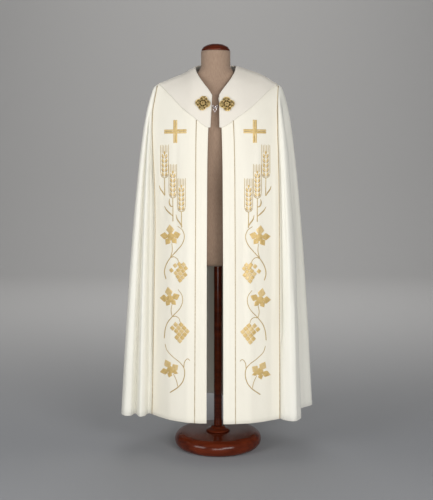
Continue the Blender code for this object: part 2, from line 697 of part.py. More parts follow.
def build_collar(cloth, finish):
    grid = collar_grid()
    normals = outward(grid)
    share = np.linspace(0, 1, grid.shape[0])[:, None, None]
    lift = COLLAR_LIFT[0] + (COLLAR_LIFT[1] - COLLAR_LIFT[0]) * share
    outer = grid + normals * (lift + COLLAR_CLOTH / 2)
    inner = grid + normals * (lift - COLLAR_CLOTH / 2)
    outer, inner = settle(outer, inner, normals, cloth)
    wall("collar", outer, inner, finish)


def from_row(rows, first):
    """The rows of a column from a place between two of them down to the hem."""
    above = int(first)
    begin = rows[above] + (rows[above + 1] - rows[above]) * (first - above)
    return np.concatenate([begin[None], rows[above + 1:]])


def build_cords(pieces, finish):
    """A flat gold cord over each seam beside the embroidered panels."""
    for side in SIDE_SIGN:
        grid, normals = pieces["orphrey_" + side]
        edges = {"inner": (0, 1) if side == "right" else (-1, -2),
                 "outer": (-1, -2) if side == "right" else (0, 1)}
        for place, (column, inward) in edges.items():
            line = from_row(grid[:, column], CORD_FIRST_ROW[place])
            out = from_row(normals[:, column], CORD_FIRST_ROW[place])
            across = from_row(grid[:, inward], CORD_FIRST_ROW[place]) - line
            across /= np.linalg.norm(across, axis=-1, keepdims=True)
            # The outer cord lies wholly on the panel, because the cloth beyond it folds back.
            shift = 0.0 if place == "inner" else CORD_WIDTH / 2 + CORD_INSET
            low = CLOTH / 2 + SEAM_GAP
            corners = [line + across * (shift + reach) + out * height
                       for reach, height in ((-CORD_WIDTH / 2, low), (CORD_WIDTH / 2, low),
                                             (CORD_WIDTH / 4, low + CORD_HEIGHT),
                                             (-CORD_WIDTH / 4, low + CORD_HEIGHT))]
            rows = len(line)
            points = np.concatenate(corners)
            faces = [[c * rows for c in range(4)], [c * rows + rows - 1 for c in range(3, -1, -1)]]
            for row in range(rows - 1):
                for corner in range(4):
                    after = (corner + 1) % 4
                    faces.append([corner * rows + row, corner * rows + row + 1,
                                  after * rows + row + 1, after * rows + row])
            add_object(f"cord_{place}_{side}", points, faces, finish)


# ---- Clasp ---------------------------------------------------------------------------

def rosette_outline(angle):
    """Four round lobes on a square standing on its corner: share of the full radius."""
    lobe = abs(math.cos(2 * angle))
    return ROSETTE_WAIST + (1 - ROSETTE_WAIST) * lobe ** ROSETTE_LOBE


def rosette_frame(side):
    """Middle of a rosette's back and its across, up and out directions."""
    here = front_point(side, ROSETTE_OFFSET, ROSETTE_Z[side])
    beside = front_point(side, ROSETTE_OFFSET + ROSETTE_PROBE, ROSETTE_Z[side])
    above = front_point(side, ROSETTE_OFFSET, ROSETTE_Z[side] + ROSETTE_PROBE)
    across = Vector(beside - here).normalized() * SIDE_SIGN[side]
    up = Vector(above - here).normalized()
    out = up.cross(across).normalized() * -1.0
    if out.y > 0:
        out = -out
    up = across.cross(out).normalized() * -1.0
    if up.z < 0:
        up = -up
    return Vector(here) + out * ROSETTE_LIFT, across, up, out


def build_rosettes(finish):
    for side in SIDE_SIGN:
        middle, across, up, out = rosette_frame(side)
        turn = math.radians(ROSETTE_TURN[side])
        points = [middle]
        for share, height in ROSETTE_RINGS:
            for step in range(ROSETTE_SIDES):
                angle = 2 * math.pi * step / ROSETTE_SIDES
                reach = ROSETTE_RADIUS * share * (rosette_outline(angle) if share > ROSETTE_ROUND else 1.0)
                points.append(middle + across * reach * math.cos(angle + turn)
                              + up * reach * math.sin(angle + turn) + out * height)
        points.append(middle + out * ROSETTE_RINGS[-1][1])
        add_object("rosette_" + side, points, ring_faces(len(ROSETTE_RINGS), ROSETTE_SIDES), finish)
        stud = [middle + out * (ROSETTE_RINGS[-1][1] + SEAM_GAP)]
        base = stud[0]
        for share, height in STUD_RINGS:
            for step in range(STUD_SIDES):
                angle = 2 * math.pi * step / STUD_SIDES
                stud.append(base + (across * math.cos(angle) + up * math.sin(angle)) * STUD_RADIUS * share
                            + out * STUD_HEIGHT * height)
        stud.append(base + out * STUD_HEIGHT)
        add_object("rosette_stud_" + side, stud, ring_faces(len(STUD_RINGS), STUD_SIDES), finish)


def chain_run(prefix, last, direction, count, finish):
    """Links in a straight run that ends at last, each turned a quarter from the next."""
    flat = direction.cross(Vector((0.0, 1.0, 0.0))).normalized()
    deep = direction.cross(flat).normalized()
    spacing = 2 * (LINK_RADIUS - LINK_WIRE) - LINK_GAP
    for number in range(count):
        behind = count - 1 - number
        across = deep if behind % 2 == 0 else flat
        centre = last - direction * behind * spacing
        torus(f"{prefix}_{number + 1}", centre, direction, across, LINK_RADIUS, LINK_WIRE, finish)


def build_chain(finish):
    """Two short runs of links that hang in a larger ring with a drop under it."""
    eyes = {}
    for side in SIDE_SIGN:
        middle, across, up, out = rosette_frame(side)
        inward = across * -SIDE_SIGN[side]
        eyes[side] = middle + inward * (ROSETTE_RADIUS + LINK_RADIUS + EYE_GAP) + out * CHAIN_FORWARD
    ring_at = Vector((OPENING_X, min(e.y for e in eyes.values()), eyes["left"].z - RING_BELOW))
    for side in SIDE_SIGN:
        direction = (ring_at - eyes[side]).normalized()
        # The last link hangs through the ring, its wire a gap inside the ring's own.
        reach = RING_RADIUS - RING_WIRE - 2 * LINK_GAP - LINK_WIRE
        last = ring_at - direction * (reach + LINK_RADIUS)
        chain_run("chain_" + side, last, direction, CHAIN_LINKS, finish)
    torus("clasp_ring", ring_at, Vector((1.0, 0.0, 0.0)), Vector((0.0, 0.0, 1.0)), RING_RADIUS, RING_WIRE,
          finish, turns=RING_TURNS)
    shoulder = DROP_RADIUS * DROP_SHOULDER
    drop = ((0.0, -DROP_RADIUS), (shoulder, -shoulder), (DROP_RADIUS, 0.0), (shoulder, shoulder),
            (0.0, DROP_RADIUS))
    under = ring_at - Vector((0.0, 0.0, RING_RADIUS + RING_WIRE + DROP_RADIUS + LINK_GAP))
    turned("clasp_drop", drop, DROP_SIDES, finish, under)


# ---- Dress form ----------------------------------------------------------------------

def build_form(finishes):
    points = [Vector((0.0, -FORM[0][3], FORM[0][0]))]
    for z, half_width, half_depth, forward, roundness in FORM:
        for step in range(FORM_SIDES):
            angle = 2 * math.pi * step / FORM_SIDES
            c, s = math.cos(angle), math.sin(angle)
            x = half_width * math.copysign(abs(c) ** (2 / roundness), c)
            y = half_depth * math.copysign(abs(s) ** (2 / roundness), s)
            points.append(Vector((NECK_X + x, y - forward, z)))
    points.append(Vector((NECK_X, 0.0, FORM[-1][0])))
    add_object("form_torso", points, ring_faces(len(FORM), FORM_SIDES), finishes["form_linen"])
    turned("form_neck_cap", CAP_PROFILE, FORM_SIDES, finishes["mahogany"], (NECK_X, 0.0, 0.0))
    turned("form_pole", POLE_PROFILE, POLE_SIDES, finishes["mahogany"])
    turned("form_pole_socket", SOCKET_PROFILE, SOCKET_SIDES, finishes["mahogany"])
    rim = [(0.0, 0.0), (FOOT_FLAT, 0.0)]
    for step in range(1, FOOT_ARC_STEPS):
        angle = math.pi * (step / FOOT_ARC_STEPS - 0.5)
        rim.append((FOOT_RING + FOOT_ROUND * math.cos(angle), FOOT_ROUND * (1 + math.sin(angle))))
    rim += [FOOT_LEDGE, FOOT_TOP, (0.0, FOOT_TOP[1])]
    turned("form_foot", rim, FOOT_SIDES, finishes["mahogany"])


def main():
    for old in list(bpy.data.objects):
        bpy.data.objects.remove(old, do_unlink=True)
    finishes = all_materials()
    pieces = build_cloth(finishes)
    build_collar(tree_of(pieces), finishes["collar_cloth"])
    build_cords(pieces, finishes["gold_cord"])
    build_rosettes(finishes["antique_gold"])
    build_chain(finishes["silver"])
    build_form(finishes)


main()
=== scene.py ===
"""The looks of a cope vestment on a limbless dress form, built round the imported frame.

Metres, +Z up, the front faces -Y. Right and left are the wearer's, so right is at -X.
"""

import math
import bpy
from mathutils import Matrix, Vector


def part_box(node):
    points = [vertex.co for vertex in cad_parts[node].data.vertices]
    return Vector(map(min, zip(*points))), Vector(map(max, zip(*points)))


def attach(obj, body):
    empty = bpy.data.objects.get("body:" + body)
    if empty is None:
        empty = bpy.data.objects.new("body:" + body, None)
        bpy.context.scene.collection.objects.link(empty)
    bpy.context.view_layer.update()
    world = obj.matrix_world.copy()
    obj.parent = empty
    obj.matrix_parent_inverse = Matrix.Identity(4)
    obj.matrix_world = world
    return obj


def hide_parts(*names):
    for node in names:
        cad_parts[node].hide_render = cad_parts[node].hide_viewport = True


bl_info = {
    "name": "Cope vestment on a dress form",
    "version": (1, 0, 0),
    "blender": (4, 5, 0),
    "location": "View3D > Sidebar > Cope",
    "description": "Builds the cloth, embroidery, clasp and dress form of a cope vestment",
    "category": "Add Mesh",
}

import bmesh
import bpy
import numpy as np
from bpy.props import FloatProperty, FloatVectorProperty, IntProperty, PointerProperty
from mathutils import Vector

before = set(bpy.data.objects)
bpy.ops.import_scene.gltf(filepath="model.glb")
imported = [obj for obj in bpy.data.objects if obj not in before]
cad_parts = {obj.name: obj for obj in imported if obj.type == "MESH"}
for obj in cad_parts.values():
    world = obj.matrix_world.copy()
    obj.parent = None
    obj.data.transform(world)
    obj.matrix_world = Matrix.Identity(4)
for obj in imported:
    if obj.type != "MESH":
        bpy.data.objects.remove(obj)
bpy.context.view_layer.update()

# ---- Sizes that come from the frame --------------------------------------------------

SIDE_SIGN = {"right": -1.0, "left": 1.0}
HEM_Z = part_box("body_left")[0].z
OUTER_CORD_TOP = 0.005      # drop at which the outer cords begin, at the shoulder's tip
OUTER_CORD_INSET = 0.0021   # from the panel's outer edge to the middle of its cord
BAND_EDGES = [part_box("front_band_right")[1].x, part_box("front_band_left")[0].x]
OPENING_X = round(sum(BAND_EDGES) / 2, 3)
NECK_X = round(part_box("form_neck_cap")[0].x / 2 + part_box("form_neck_cap")[1].x / 2, 3)
POLE_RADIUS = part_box("form_pole")[1].x

# ---- The cope's shape, as the frame's solids have it ---------------------------------

CLOTH = 0.0016
SEAM_GAP = 0.0005           # clear gap between neighbouring pieces
BAND_WIDTH = 0.0460         # plain strip along each front edge
NECK_SIDE = 0.087           # half the width of the neckline at the shoulder line
NECK_BACK = 0.068           # how far the neckline stands behind the shoulder line
NECK_BACK_RISE = 0.010
RIDGE_PART = 0.0012         # each side of the shoulder line keeps this far from it
FRONT_EDGE_DEPTH = {"right": 0.208, "left": 0.218}      # at the hem, in front of the axis
FRONT_SEAM_DEPTH = {"right": 0.071, "left": 0.139}
PANEL_BOW = 2.2             # how late a front panel turns back towards its outer seam
COLLAR_BACK_DROP = 0.118    # share of the length that the collar covers at the back
COLLAR_LIFT = 0.0038        # collar above the cloth under it, middle to middle
COLLAR_TIP_SHARE = 0.965    # of the top edge as far as the shoulder tip
NECK_BACK_SHARE = 0.35      # of the top edge, from the middle of the back to the neck side
TIP_SHARE = 0.85            # of the top edge, from the middle of the back to the shoulder tip
SEAM_OPENS = 0.115          # drop on the front seam from which the side cloth flares freely
GATHER_OPENS = 0.10         # share of a column's length by which its fold has opened
SEAM_BLEND = 0.5            # how far the outer seam has taken on the side cloth's fall
BACK_BLEND = 0.35           # of the top edge, over which the side's fall becomes the back's
START_BLEND = 0.05          # a fold that begins this far down no longer opens as a gather
FOLD_GROWTH = 0.85          # a fold's depth grows as this power of the way down
PLAIN_WEIGHTS = {-1: 0.25, 0: 0.5, 1: 0.25}     # rows of FOLDS averaged to a plain hem
COLLAR_BACK_CURVE = 0.8     # how fast its lower edge falls from the shoulder line to there
COLLAR_STEPS = {"down": 44, "front": 44, "back": 48}
PANEL_EXTRA_ROWS = 60
EDGE_ROUND = 0.4            # how far a wall's edge bulges, in thicknesses
SEAM_BEHIND = (0.0012, 0.0016)      # the side cloth starts this far beside and behind the seam

# Down the garment: how far out the front, side and back cloth has come, half the front
# opening, and the outer seams' distances from its middle.
LEVEL_NAMES = ("drop", "front", "side", "back", "half_gap", "seam_right", "seam_left")
LEVELS = (
    (0.000, 0.000, 0.000, 0.000, 0.0080, 0.246, 0.272),
    (0.006, 0.110, 0.075, 0.090, 0.0081, 0.248, 0.271),
    (0.020, 0.230, 0.141, 0.190, 0.0084, 0.251, 0.269),
    (0.045, 0.375, 0.212, 0.310, 0.0090, 0.257, 0.266),
    (0.085, 0.510, 0.292, 0.440, 0.0130, 0.265, 0.264),
    (0.137, 0.620, 0.370, 0.560, 0.0240, 0.267, 0.264),
    (0.200, 0.700, 0.447, 0.650, 0.0290, 0.264, 0.266),
    (0.300, 0.770, 0.548, 0.735, 0.0320, 0.257, 0.269),
    (0.420, 0.830, 0.648, 0.805, 0.0330, 0.254, 0.270),
    (0.560, 0.880, 0.748, 0.865, 0.0340, 0.257, 0.2705),
    (0.700, 0.925, 0.837, 0.915, 0.0343, 0.260, 0.271),
    (0.850, 0.965, 0.922, 0.960, 0.0347, 0.264, 0.2715),
    (1.000, 1.000, 1.000, 1.000, 0.0350, 0.2685, 0.272),
)

# Distance from the neck's middle, and height.
SHOULDER_LINE = ((0.000, 1.637), (0.087, 1.635), (0.136, 1.612), (0.173, 1.599),
                 (0.203, 1.585), (0.232, 1.571), (0.259, 1.556))

# How the line differs on each side: it is hollow on the wearer's right and full on the left.
SHOULDER_LEAN = {
    "right": ((0.087, 0.0), (0.120, -0.0110), (0.160, -0.0100), (0.218, -0.0100), (0.258, 0.0)),
    "left": ((0.087, 0.0), (0.152, 0.0080), (0.217, 0.0095), (0.240, 0.0045), (0.256, 0.0)),
}
NECKLINE = ((0.008, 1.496), (0.015, 1.506), (0.026, 1.524), (0.0475, 1.553),
            (0.069, 1.585), (0.082, 1.612), (0.087, 1.635))

SHOULDER_BEND = 0.026       # how far each way the bend at the neck side is rounded
SHOULDER_ROUNDING = ((-1.0, 0.12), (-0.5, 0.22), (0.0, 0.32), (0.5, 0.22), (1.0, 0.12))

# The collar's lower edge in front: distance from the opening's middle, and height.
COLLAR_EDGE = ((0.019, 1.372), (0.030, 1.371), (0.045, 1.379), (0.077, 1.403),
               (0.142, 1.452), (0.207, 1.515), (0.2525, 1.556))

# Crests and valleys at the hem, from the right front seam round the back to the left one.
# top is the place on the top edge that each hangs from; start is where its fold begins.
FOLD_NAMES = ("name", "x", "y", "top", "start")
FOLDS = (
    ("right seam",            -0.2815, -0.071, -1.000, 0.00),
    ("valley by the seam",    -0.2960, -0.062, -0.985, 0.00),
    ("inner tube front",      -0.3120, -0.100, -0.965, 0.00),
    ("inner tube crest",      -0.3300, -0.110, -0.945, 0.00),
    ("valley between tubes",  -0.3540, -0.064, -0.920, 0.00),
    ("outer tube front",      -0.3720, -0.096, -0.900, 0.00),
    ("outer tube crest",      -0.3960, -0.094, -0.880, 0.00),
    ("outer tube side",       -0.4135, -0.052, -0.860, 0.00),
    ("right side valley 1",   -0.3900,  0.004, -0.835, 0.00),
    ("right side crest 1",    -0.4140,  0.060, -0.800, 0.00),
    ("right side valley 2",   -0.3620,  0.094, -0.750, 0.02),
    ("right side crest 2",    -0.3820,  0.158, -0.690, 0.04),
    ("right back valley 1",   -0.3080,  0.160, -0.590, 0.07),
    ("right back crest 1",    -0.2900,  0.226, -0.480, 0.10),
    ("right back valley 2",   -0.2200,  0.194, -0.380, 0.13),
    ("right back crest 2",    -0.1760,  0.264, -0.260, 0.15),
    ("right back valley 3",   -0.1120,  0.222, -0.160, 0.18),
    ("centre back crest",     -0.0480,  0.276, -0.060, 0.16),
    ("centre back",           -0.0050,  0.262,  0.000, 0.16),
    ("left back valley 3",     0.0560,  0.212,  0.110, 0.18),
    ("left back crest 2",      0.1380,  0.270,  0.230, 0.14),
    ("left back valley 2",     0.1960,  0.210,  0.350, 0.12),
    ("left back crest 1",      0.2620,  0.246,  0.450, 0.10),
    ("left back valley 1",     0.2950,  0.176,  0.560, 0.07),
    ("left side crest 2",      0.3640,  0.190,  0.680, 0.04),
    ("left side valley 2",     0.3580,  0.130,  0.760, 0.02),
    ("rear tube back",         0.4060,  0.116,  0.820, 0.00),
    ("rear tube crest",        0.4160,  0.074,  0.850, 0.00),
    ("rear tube front",        0.3780,  0.034,  0.872, 0.00),
    ("deep valley",            0.3260, -0.020,  0.892, 0.00),
    ("front tube back",        0.3420, -0.080,  0.912, 0.00),
    ("front tube side",        0.3480, -0.132,  0.932, 0.00),
    ("front tube crest",       0.3140, -0.176,  0.955, 0.00),
    ("front tube inner side",  0.2780, -0.160,  0.980, 0.00),
    ("left seam",              0.2590, -0.139,  1.000, 0.00),
)

# Creases, listed one by one: where across (share of a panel, or rows of FOLDS), how wide, the
# drops between which each lies, how far it stands out (or sinks in), and how far it leans.
CREASE_NAMES = ("at", "width", "top", "bottom", "depth", "lean")
FRONT_CREASES = {
    "right": (
        (0.105, 0.020, 0.16, 1.10, 0.0011, 0.00),
        (0.360, 0.070, 0.34, 1.10, 0.0026, -0.03),
        (0.560, 0.050, 0.12, 0.62, -0.0020, 0.04),
        (0.700, 0.080, 0.45, 1.10, 0.0024, -0.05),
        (0.900, 0.045, 0.10, 0.50, 0.0024, -0.02),
        (0.930, 0.030, 0.52, 0.93, -0.0018, 0.03),
    ),
    "left": (
        (0.100, 0.020, 0.16, 1.10, 0.0010, 0.00),
        (0.330, 0.060, 0.22, 0.80, -0.0020, 0.04),
        (0.470, 0.080, 0.42, 1.10, 0.0030, 0.02),
        (0.640, 0.060, 0.14, 0.66, 0.0022, -0.04),
        (0.820, 0.060, 0.38, 1.10, -0.0022, 0.05),
        (0.930, 0.035, 0.16, 0.74, 0.0022, 0.00),
    ),
}
BODY_CREASES = (
    (0.48, 0.26, 0.04, 0.92, -0.0150, 0.00),
    (33.5, 0.26, 0.10, 0.80, -0.0140, 0.00),
    (29.3, 1.20, 0.04, 0.66, 0.0090, 0.00),
    (8.40, 0.40, 0.20, 0.72, 0.0040, -0.50),
    (9.40, 0.34, 0.55, 1.10, -0.0036, 0.40),
    (10.6, 0.30, 0.12, 0.48, 0.0046, 0.60),
    (11.4, 0.26, 0.46, 1.10, 0.0032, -0.30),
    (12.6, 0.34, 0.18, 0.66, -0.0040, 0.50),
    (13.5, 0.30, 0.52, 1.10, 0.0040, -0.30),
    (14.6, 0.28, 0.20, 0.58, 0.0036, 0.40),
    (15.4, 0.26, 0.60, 1.10, -0.0034, 0.20),
    (16.6, 0.34, 0.24, 0.78, 0.0040, -0.40),
    (18.5, 0.40, 0.36, 1.10, 0.0038, 0.35),
    (19.6, 0.28, 0.16, 0.60, -0.0036, -0.30),
    (20.5, 0.30, 0.50, 1.10, 0.0034, 0.30),
    (21.5, 0.26, 0.20, 0.70, 0.0040, 0.30),
    (22.6, 0.30, 0.44, 1.10, -0.0040, -0.40),
    (23.5, 0.28, 0.14, 0.56, 0.0036, 0.40),
    (24.6, 0.26, 0.48, 1.10, 0.0030, 0.20),
    (25.5, 0.30, 0.10, 0.50, -0.0030, 0.30),
    (26.6, 0.30, 0.36, 0.92, 0.0034, -0.30),
    (28.4, 0.24, 0.18, 0.64, 0.0030, 0.20),
    (30.5, 0.26, 0.30, 0.90, 0.0034, -0.20),
    (31.55, 0.16, 0.52, 1.10, 0.0040, 0.45),
    (32.5, 0.20, 0.12, 0.60, -0.0024, 0.10),
)
CREASE_FADE = 0.16      # share of the drop over which a crease comes and goes
PANEL_FADE = {"opening": 0.03, "seam": 0.06}    # shares of a panel within which they flatten out
SEAM_TAME = 0.40        # rows of FOLDS from each seam within which creases flatten out

# The dress form, from its flat underside up.
FORM_NAMES = ("z", "half_width", "half_depth", "forward", "roundness")
FORM = (
    (0.790, 0.165, 0.090, 0.000, 2.1),
    (0.800, 0.188, 0.104, 0.000, 2.1),
    (0.830, 0.196, 0.110, 0.000, 2.1),
    (0.900, 0.200, 0.116, 0.000, 2.1),
    (1.000, 0.190, 0.110, 0.002, 2.1),
    (1.100, 0.168, 0.096, 0.004, 2.1),
    (1.200, 0.180, 0.104, 0.008, 2.1),
    (1.290, 0.200, 0.112, 0.010, 2.1),
    (1.370, 0.212, 0.112, 0.009, 2.1),
    (1.440, 0.222, 0.102, 0.004, 2.0),
    (1.500, 0.226, 0.088, 0.000, 1.8),
    (1.540, 0.212, 0.074, 0.000, 1.5),
    (1.565, 0.182, 0.066, 0.000, 1.4),
    (1.585, 0.140, 0.062, 0.000, 1.5),
    (1.605, 0.095, 0.060, 0.000, 1.8),
    (1.620, 0.072, 0.060, 0.000, 2.0),
    (1.640, 0.063, 0.0605, 0.000, 2.0),
    (1.700, 0.0625, 0.0625, 0.000, 2.0),
)

# ---- Embroidery, drawn for one panel and mirrored on the other -----------------------
# Places are a distance out from the opening's middle and a height.

CROSS = {"middle": (0.165, 1.3565), "reach": 0.0485, "bar": 0.0185}

EAR_NAMES = ("out", "top", "length", "half_width", "stem_end")
EARS = (
    (0.2110, 1.303, 0.141, 0.0175, 1.088),
    (0.1750, 1.222, 0.143, 0.0165, 0.982),
    (0.1385, 1.164, 0.141, 0.0168, 0.958),
)
EAR_BLADES = (
    ((0.2110, 1.089), (0.2185, 1.102), (0.2290, 1.116), (0.2340, 1.131)),
    ((0.1740, 1.044), (0.1840, 1.046), (0.1905, 1.061), (0.1880, 1.077)),
    ((0.1735, 1.004), (0.1860, 1.014), (0.2015, 1.028), (0.2125, 1.045)),
    ((0.1350, 0.960), (0.1445, 0.977), (0.1560, 0.992), (0.1615, 1.012)),
)

# Vine stems with their width at the start and the end.
STEMS = (
    (0.0024, 0.0040, ((0.155, 0.964), (0.1345, 0.949), (0.1257, 0.923), (0.1345, 0.892),
                      (0.156, 0.864), (0.185, 0.831), (0.205, 0.797), (0.211, 0.767), (0.204, 0.739))),
    (0.0024, 0.0028, ((0.179, 0.893), (0.177, 0.862), (0.185, 0.831))),
    (0.0032, 0.0022, ((0.185, 0.831), (0.171, 0.836), (0.156, 0.828), (0.148, 0.811))),
    (0.0022, 0.0036, ((0.153, 0.703), (0.136, 0.679), (0.1335, 0.653), (0.145, 0.624),
                      (0.177, 0.587), (0.198, 0.558), (0.208, 0.528), (0.212, 0.490))),
    (0.0024, 0.0028, ((0.178, 0.638), (0.182, 0.609), (0.177, 0.587))),
    (0.0030, 0.0022, ((0.177, 0.587), (0.162, 0.590), (0.149, 0.583), (0.143, 0.567))),
    (0.0024, 0.0038, ((0.209, 0.469), (0.200, 0.444), (0.174, 0.420), (0.144, 0.400),
                      (0.128, 0.381), (0.1245, 0.356), (0.133, 0.323), (0.152, 0.298), (0.188, 0.269))),
    (0.0030, 0.0022, ((0.128, 0.381), (0.1245, 0.406), (0.112, 0.420), (0.102, 0.412))),
    (0.0024, 0.0028, ((0.172, 0.350), (0.159, 0.323), (0.1535, 0.300))),
)

STEM_FULLER = 0.0008     # the worked line is this much wider than its drawn one

# Five-lobed leaves: the lobes' angles from straight up (outwards is positive), how far each
# reaches from the leaf's middle, and its width.
LOBE_NAMES = ("angle", "reach", "width")
LEAVES = (
    {"middle": (0.1835, 0.9190), "lobes": ((6, 0.050, 0.034), (88, 0.048, 0.030), (-72, 0.044, 0.031),
                                           (148, 0.042, 0.026), (-138, 0.037, 0.026))},
    {"middle": (0.1865, 0.6600), "lobes": ((12, 0.050, 0.033), (94, 0.046, 0.031), (-64, 0.046, 0.029),
                                           (152, 0.036, 0.022), (-132, 0.034, 0.023))},
    {"middle": (0.1835, 0.3640), "lobes": ((32, 0.046, 0.034), (112, 0.052, 0.026), (-52, 0.040, 0.030),
                                           (166, 0.034, 0.022), (-108, 0.033, 0.018))},
)

# Bunches of square grapes: the first grape's place, the lattice's two directions in degrees
# below level, its pitch, the grape's size and which grapes there are.
BUNCHES = (
    {"start": (0.1294, 0.8070), "down_in": 58, "down_out": 49, "pitch": 0.0167, "grape": 0.0157,
     "cells": ((-1.4, 2.1), (-1.3, 3.65), (-0.85, 0.95), (0, 0), (0, 1), (0, 2), (0, 3),
               (1, 0), (1, 1), (1, 2), (1, 3),
               (2, 1), (2, 2), (2, 3))},
    {"start": (0.1396, 0.5580), "down_in": 44, "down_out": 54, "pitch": 0.0176, "grape": 0.0168,
     "cells": ((-1, 1), (-1.1, 2.2), (0, 0), (0, 1), (0, 2), (1, 0), (1, 1), (1, 2), (1, 3),
               (2, 0), (2, 1), (2, 2), (2, 3))},
)

# ---- Clasp ---------------------------------------------------------------------------

ROSETTE_OFFSET = 0.049
ROSETTE_Z = {"right": 1.4700, "left": 1.4665}
ROSETTE_TURN = {"right": -8.0, "left": 5.0}
ROSETTE_LIFT = 0.0074
CHAIN_FORWARD = 0.0030
LINK_GAP = 0.0004
RING_BELOW = 0.0235
ROSETTE_WAIST = 0.70        # of the radius, where two lobes meet
ROSETTE_LOBE = 0.75         # below 1 the lobes are fuller


# ---- Smooth tables -------------------------------------------------------------------

def smooth_table(places, values, wanted):
    """A smooth curve through a table that never swings past its own values."""
    places = np.asarray(places, float)
    values = np.asarray(values, float)
    wanted = np.clip(np.asarray(wanted, float), places[0], places[-1])
    steps = np.diff(places)
    slopes = np.diff(values) / steps
    tangents = np.zeros(len(places))
    tangents[0] = slopes[0]
    tangents[-1] = slopes[-1]
    for i in range(1, len(places) - 1):
        if slopes[i - 1] * slopes[i] > 0:
            before = 2 * steps[i] + steps[i - 1]
            after = steps[i] + 2 * steps[i - 1]
            tangents[i] = (before + after) / (before / slopes[i - 1] + after / slopes[i])
    at = np.clip(np.searchsorted(places, wanted, side="right") - 1, 0, len(steps) - 1)
    s = (wanted - places[at]) / steps[at]
    return ((1 + 2 * s) * (1 - s) ** 2 * values[at] + s * (1 - s) ** 2 * steps[at] * tangents[at]
            + s * s * (3 - 2 * s) * values[at + 1] + s * s * (s - 1) * steps[at] * tangents[at + 1])


def level(column, drop):
    at = LEVEL_NAMES.index(column)
    return smooth_table([row[0] for row in LEVELS], [row[at] for row in LEVELS], drop)


def pairs(table, wanted):
    return smooth_table([row[0] for row in table], [row[1] for row in table], wanted)


def shoulder_height(x):
    """The shoulder line's height, its bend at the neck side rounded over."""
    total = 0.0
    for share, weight in SHOULDER_ROUNDING:
        away = np.abs(np.abs(x - NECK_X) + share * SHOULDER_BEND)
        lean = np.where(x < NECK_X, pairs(SHOULDER_LEAN["right"], away), pairs(SHOULDER_LEAN["left"], away))
        total = total + weight * (pairs(SHOULDER_LINE, away) + lean)
    return total


def ease(amount):
    amount = np.clip(amount, 0, 1)
    return amount * amount * (3 - 2 * amount)


def smooth_path(points, step):
    """Points every step or so along a rounded curve through a few points."""
    points = np.asarray(points, float)
    knots = np.concatenate([[0.0], np.cumsum(np.linalg.norm(np.diff(points, axis=0), axis=1) ** 0.5)])
    gaps = np.diff(knots)[:, None]
    slopes = np.diff(points, axis=0) / gaps
    tangents = np.empty_like(points)
    tangents[0] = slopes[0]
    tangents[-1] = slopes[-1]
    tangents[1:-1] = (slopes[:-1] * gaps[1:] + slopes[1:] * gaps[:-1]) / (gaps[:-1] + gaps[1:])
    made = [points[:1]]
    for i, gap in enumerate(gaps[:, 0]):
        count = max(2, int(np.linalg.norm(points[i + 1] - points[i]) / step))
        s = np.linspace(0, 1, count + 1)[1:, None]
        made.append((1 + 2 * s) * (1 - s) ** 2 * points[i] + s * (1 - s) ** 2 * gap * tangents[i]
                    + s * s * (3 - 2 * s) * points[i + 1] + s * s * (s - 1) * gap * tangents[i + 1])
    return np.concatenate(made)


def crease_field(rows, at, drop):
    """How far hand-placed creases stand out at places across and down a cloth."""
    total = np.zeros(np.broadcast(at, drop).shape)
    for row in rows:
        crease = dict(zip(CREASE_NAMES, row))
        away = (at - crease["at"] - crease["lean"] * (drop - crease["top"])) / crease["width"]
        comes = ease((drop - crease["top"]) / CREASE_FADE)
        goes = ease((crease["bottom"] - drop) / CREASE_FADE)
        total = total + crease["depth"] * np.exp(-away * away) * comes * goes
    return total


# ---- The cope's surfaces -------------------------------------------------------------

def front_top_x(side, share):
    """Where the top of a front column lies on the shoulder line."""
    edge = level("half_gap", 0.0)
    return OPENING_X + SIDE_SIGN[side] * (edge + share * (level("seam_" + side, 0.0) - edge))


def front_point(side, share, drop, creased=True):
    """A front panel: share 0 at the opening and 1 at the outer seam, drop 1 at the hem."""
    share, drop = np.broadcast_arrays(np.asarray(share, float), np.asarray(drop, float))
    sign = SIDE_SIGN[side]
    edge = level("half_gap", drop)
    seam = level("seam_" + side, drop)
    x = OPENING_X + sign * (edge + share * (seam - edge))
    top_z = shoulder_height(front_top_x(side, share))
    turn = np.clip(share, 0, 1) ** PANEL_BOW
    depth = FRONT_EDGE_DEPTH[side] + (FRONT_SEAM_DEPTH[side] - FRONT_EDGE_DEPTH[side]) * turn
    out = level("front", drop) * (1 - SEAM_BLEND * turn) + level("side", drop) * SEAM_BLEND * turn
    z = top_z + (HEM_Z - top_z) * drop
    y = -RIDGE_PART - (depth - RIDGE_PART) * out
    if creased:
        fade = ease((1 - share) / PANEL_FADE["seam"]) * ease(share / PANEL_FADE["opening"])
        y = y - crease_field(FRONT_CREASES[side], share, drop) * fade
    return np.stack([x, y, z], axis=-1)


def front_share(side, distance, drop):
    edge = level("half_gap", drop)
    return (distance - edge) / (level("seam_" + side, drop) - edge)


def front_start(side, share):
    """Drop at which a front column leaves the neckline, 0 from the neck side outwards."""
    top_x = front_top_x(side, share)
    away = np.abs(top_x - NECK_X)
    ridge = shoulder_height(top_x)
    cut = np.where(away < NECK_SIDE, pairs(NECKLINE, away), ridge)
    return np.maximum((ridge - cut) / (ridge - HEM_Z), 0.0)


def front_drop(side, distance, height, guess=0.1, passes=7):
    """The drop at which the front is at this height, this far from the opening's middle."""
    drop = np.full(np.shape(height), guess)
    for _ in range(passes):
        share = front_share(side, distance, drop)
        top = shoulder_height(front_top_x(side, share))
        drop = np.clip((top - height) / (top - HEM_Z), 0.0, 1.0)
    return drop


def on_front(side, distance, height, creased=True):
    drop = front_drop(side, distance, height)
    return front_point(side, front_share(side, distance, drop), drop, creased)


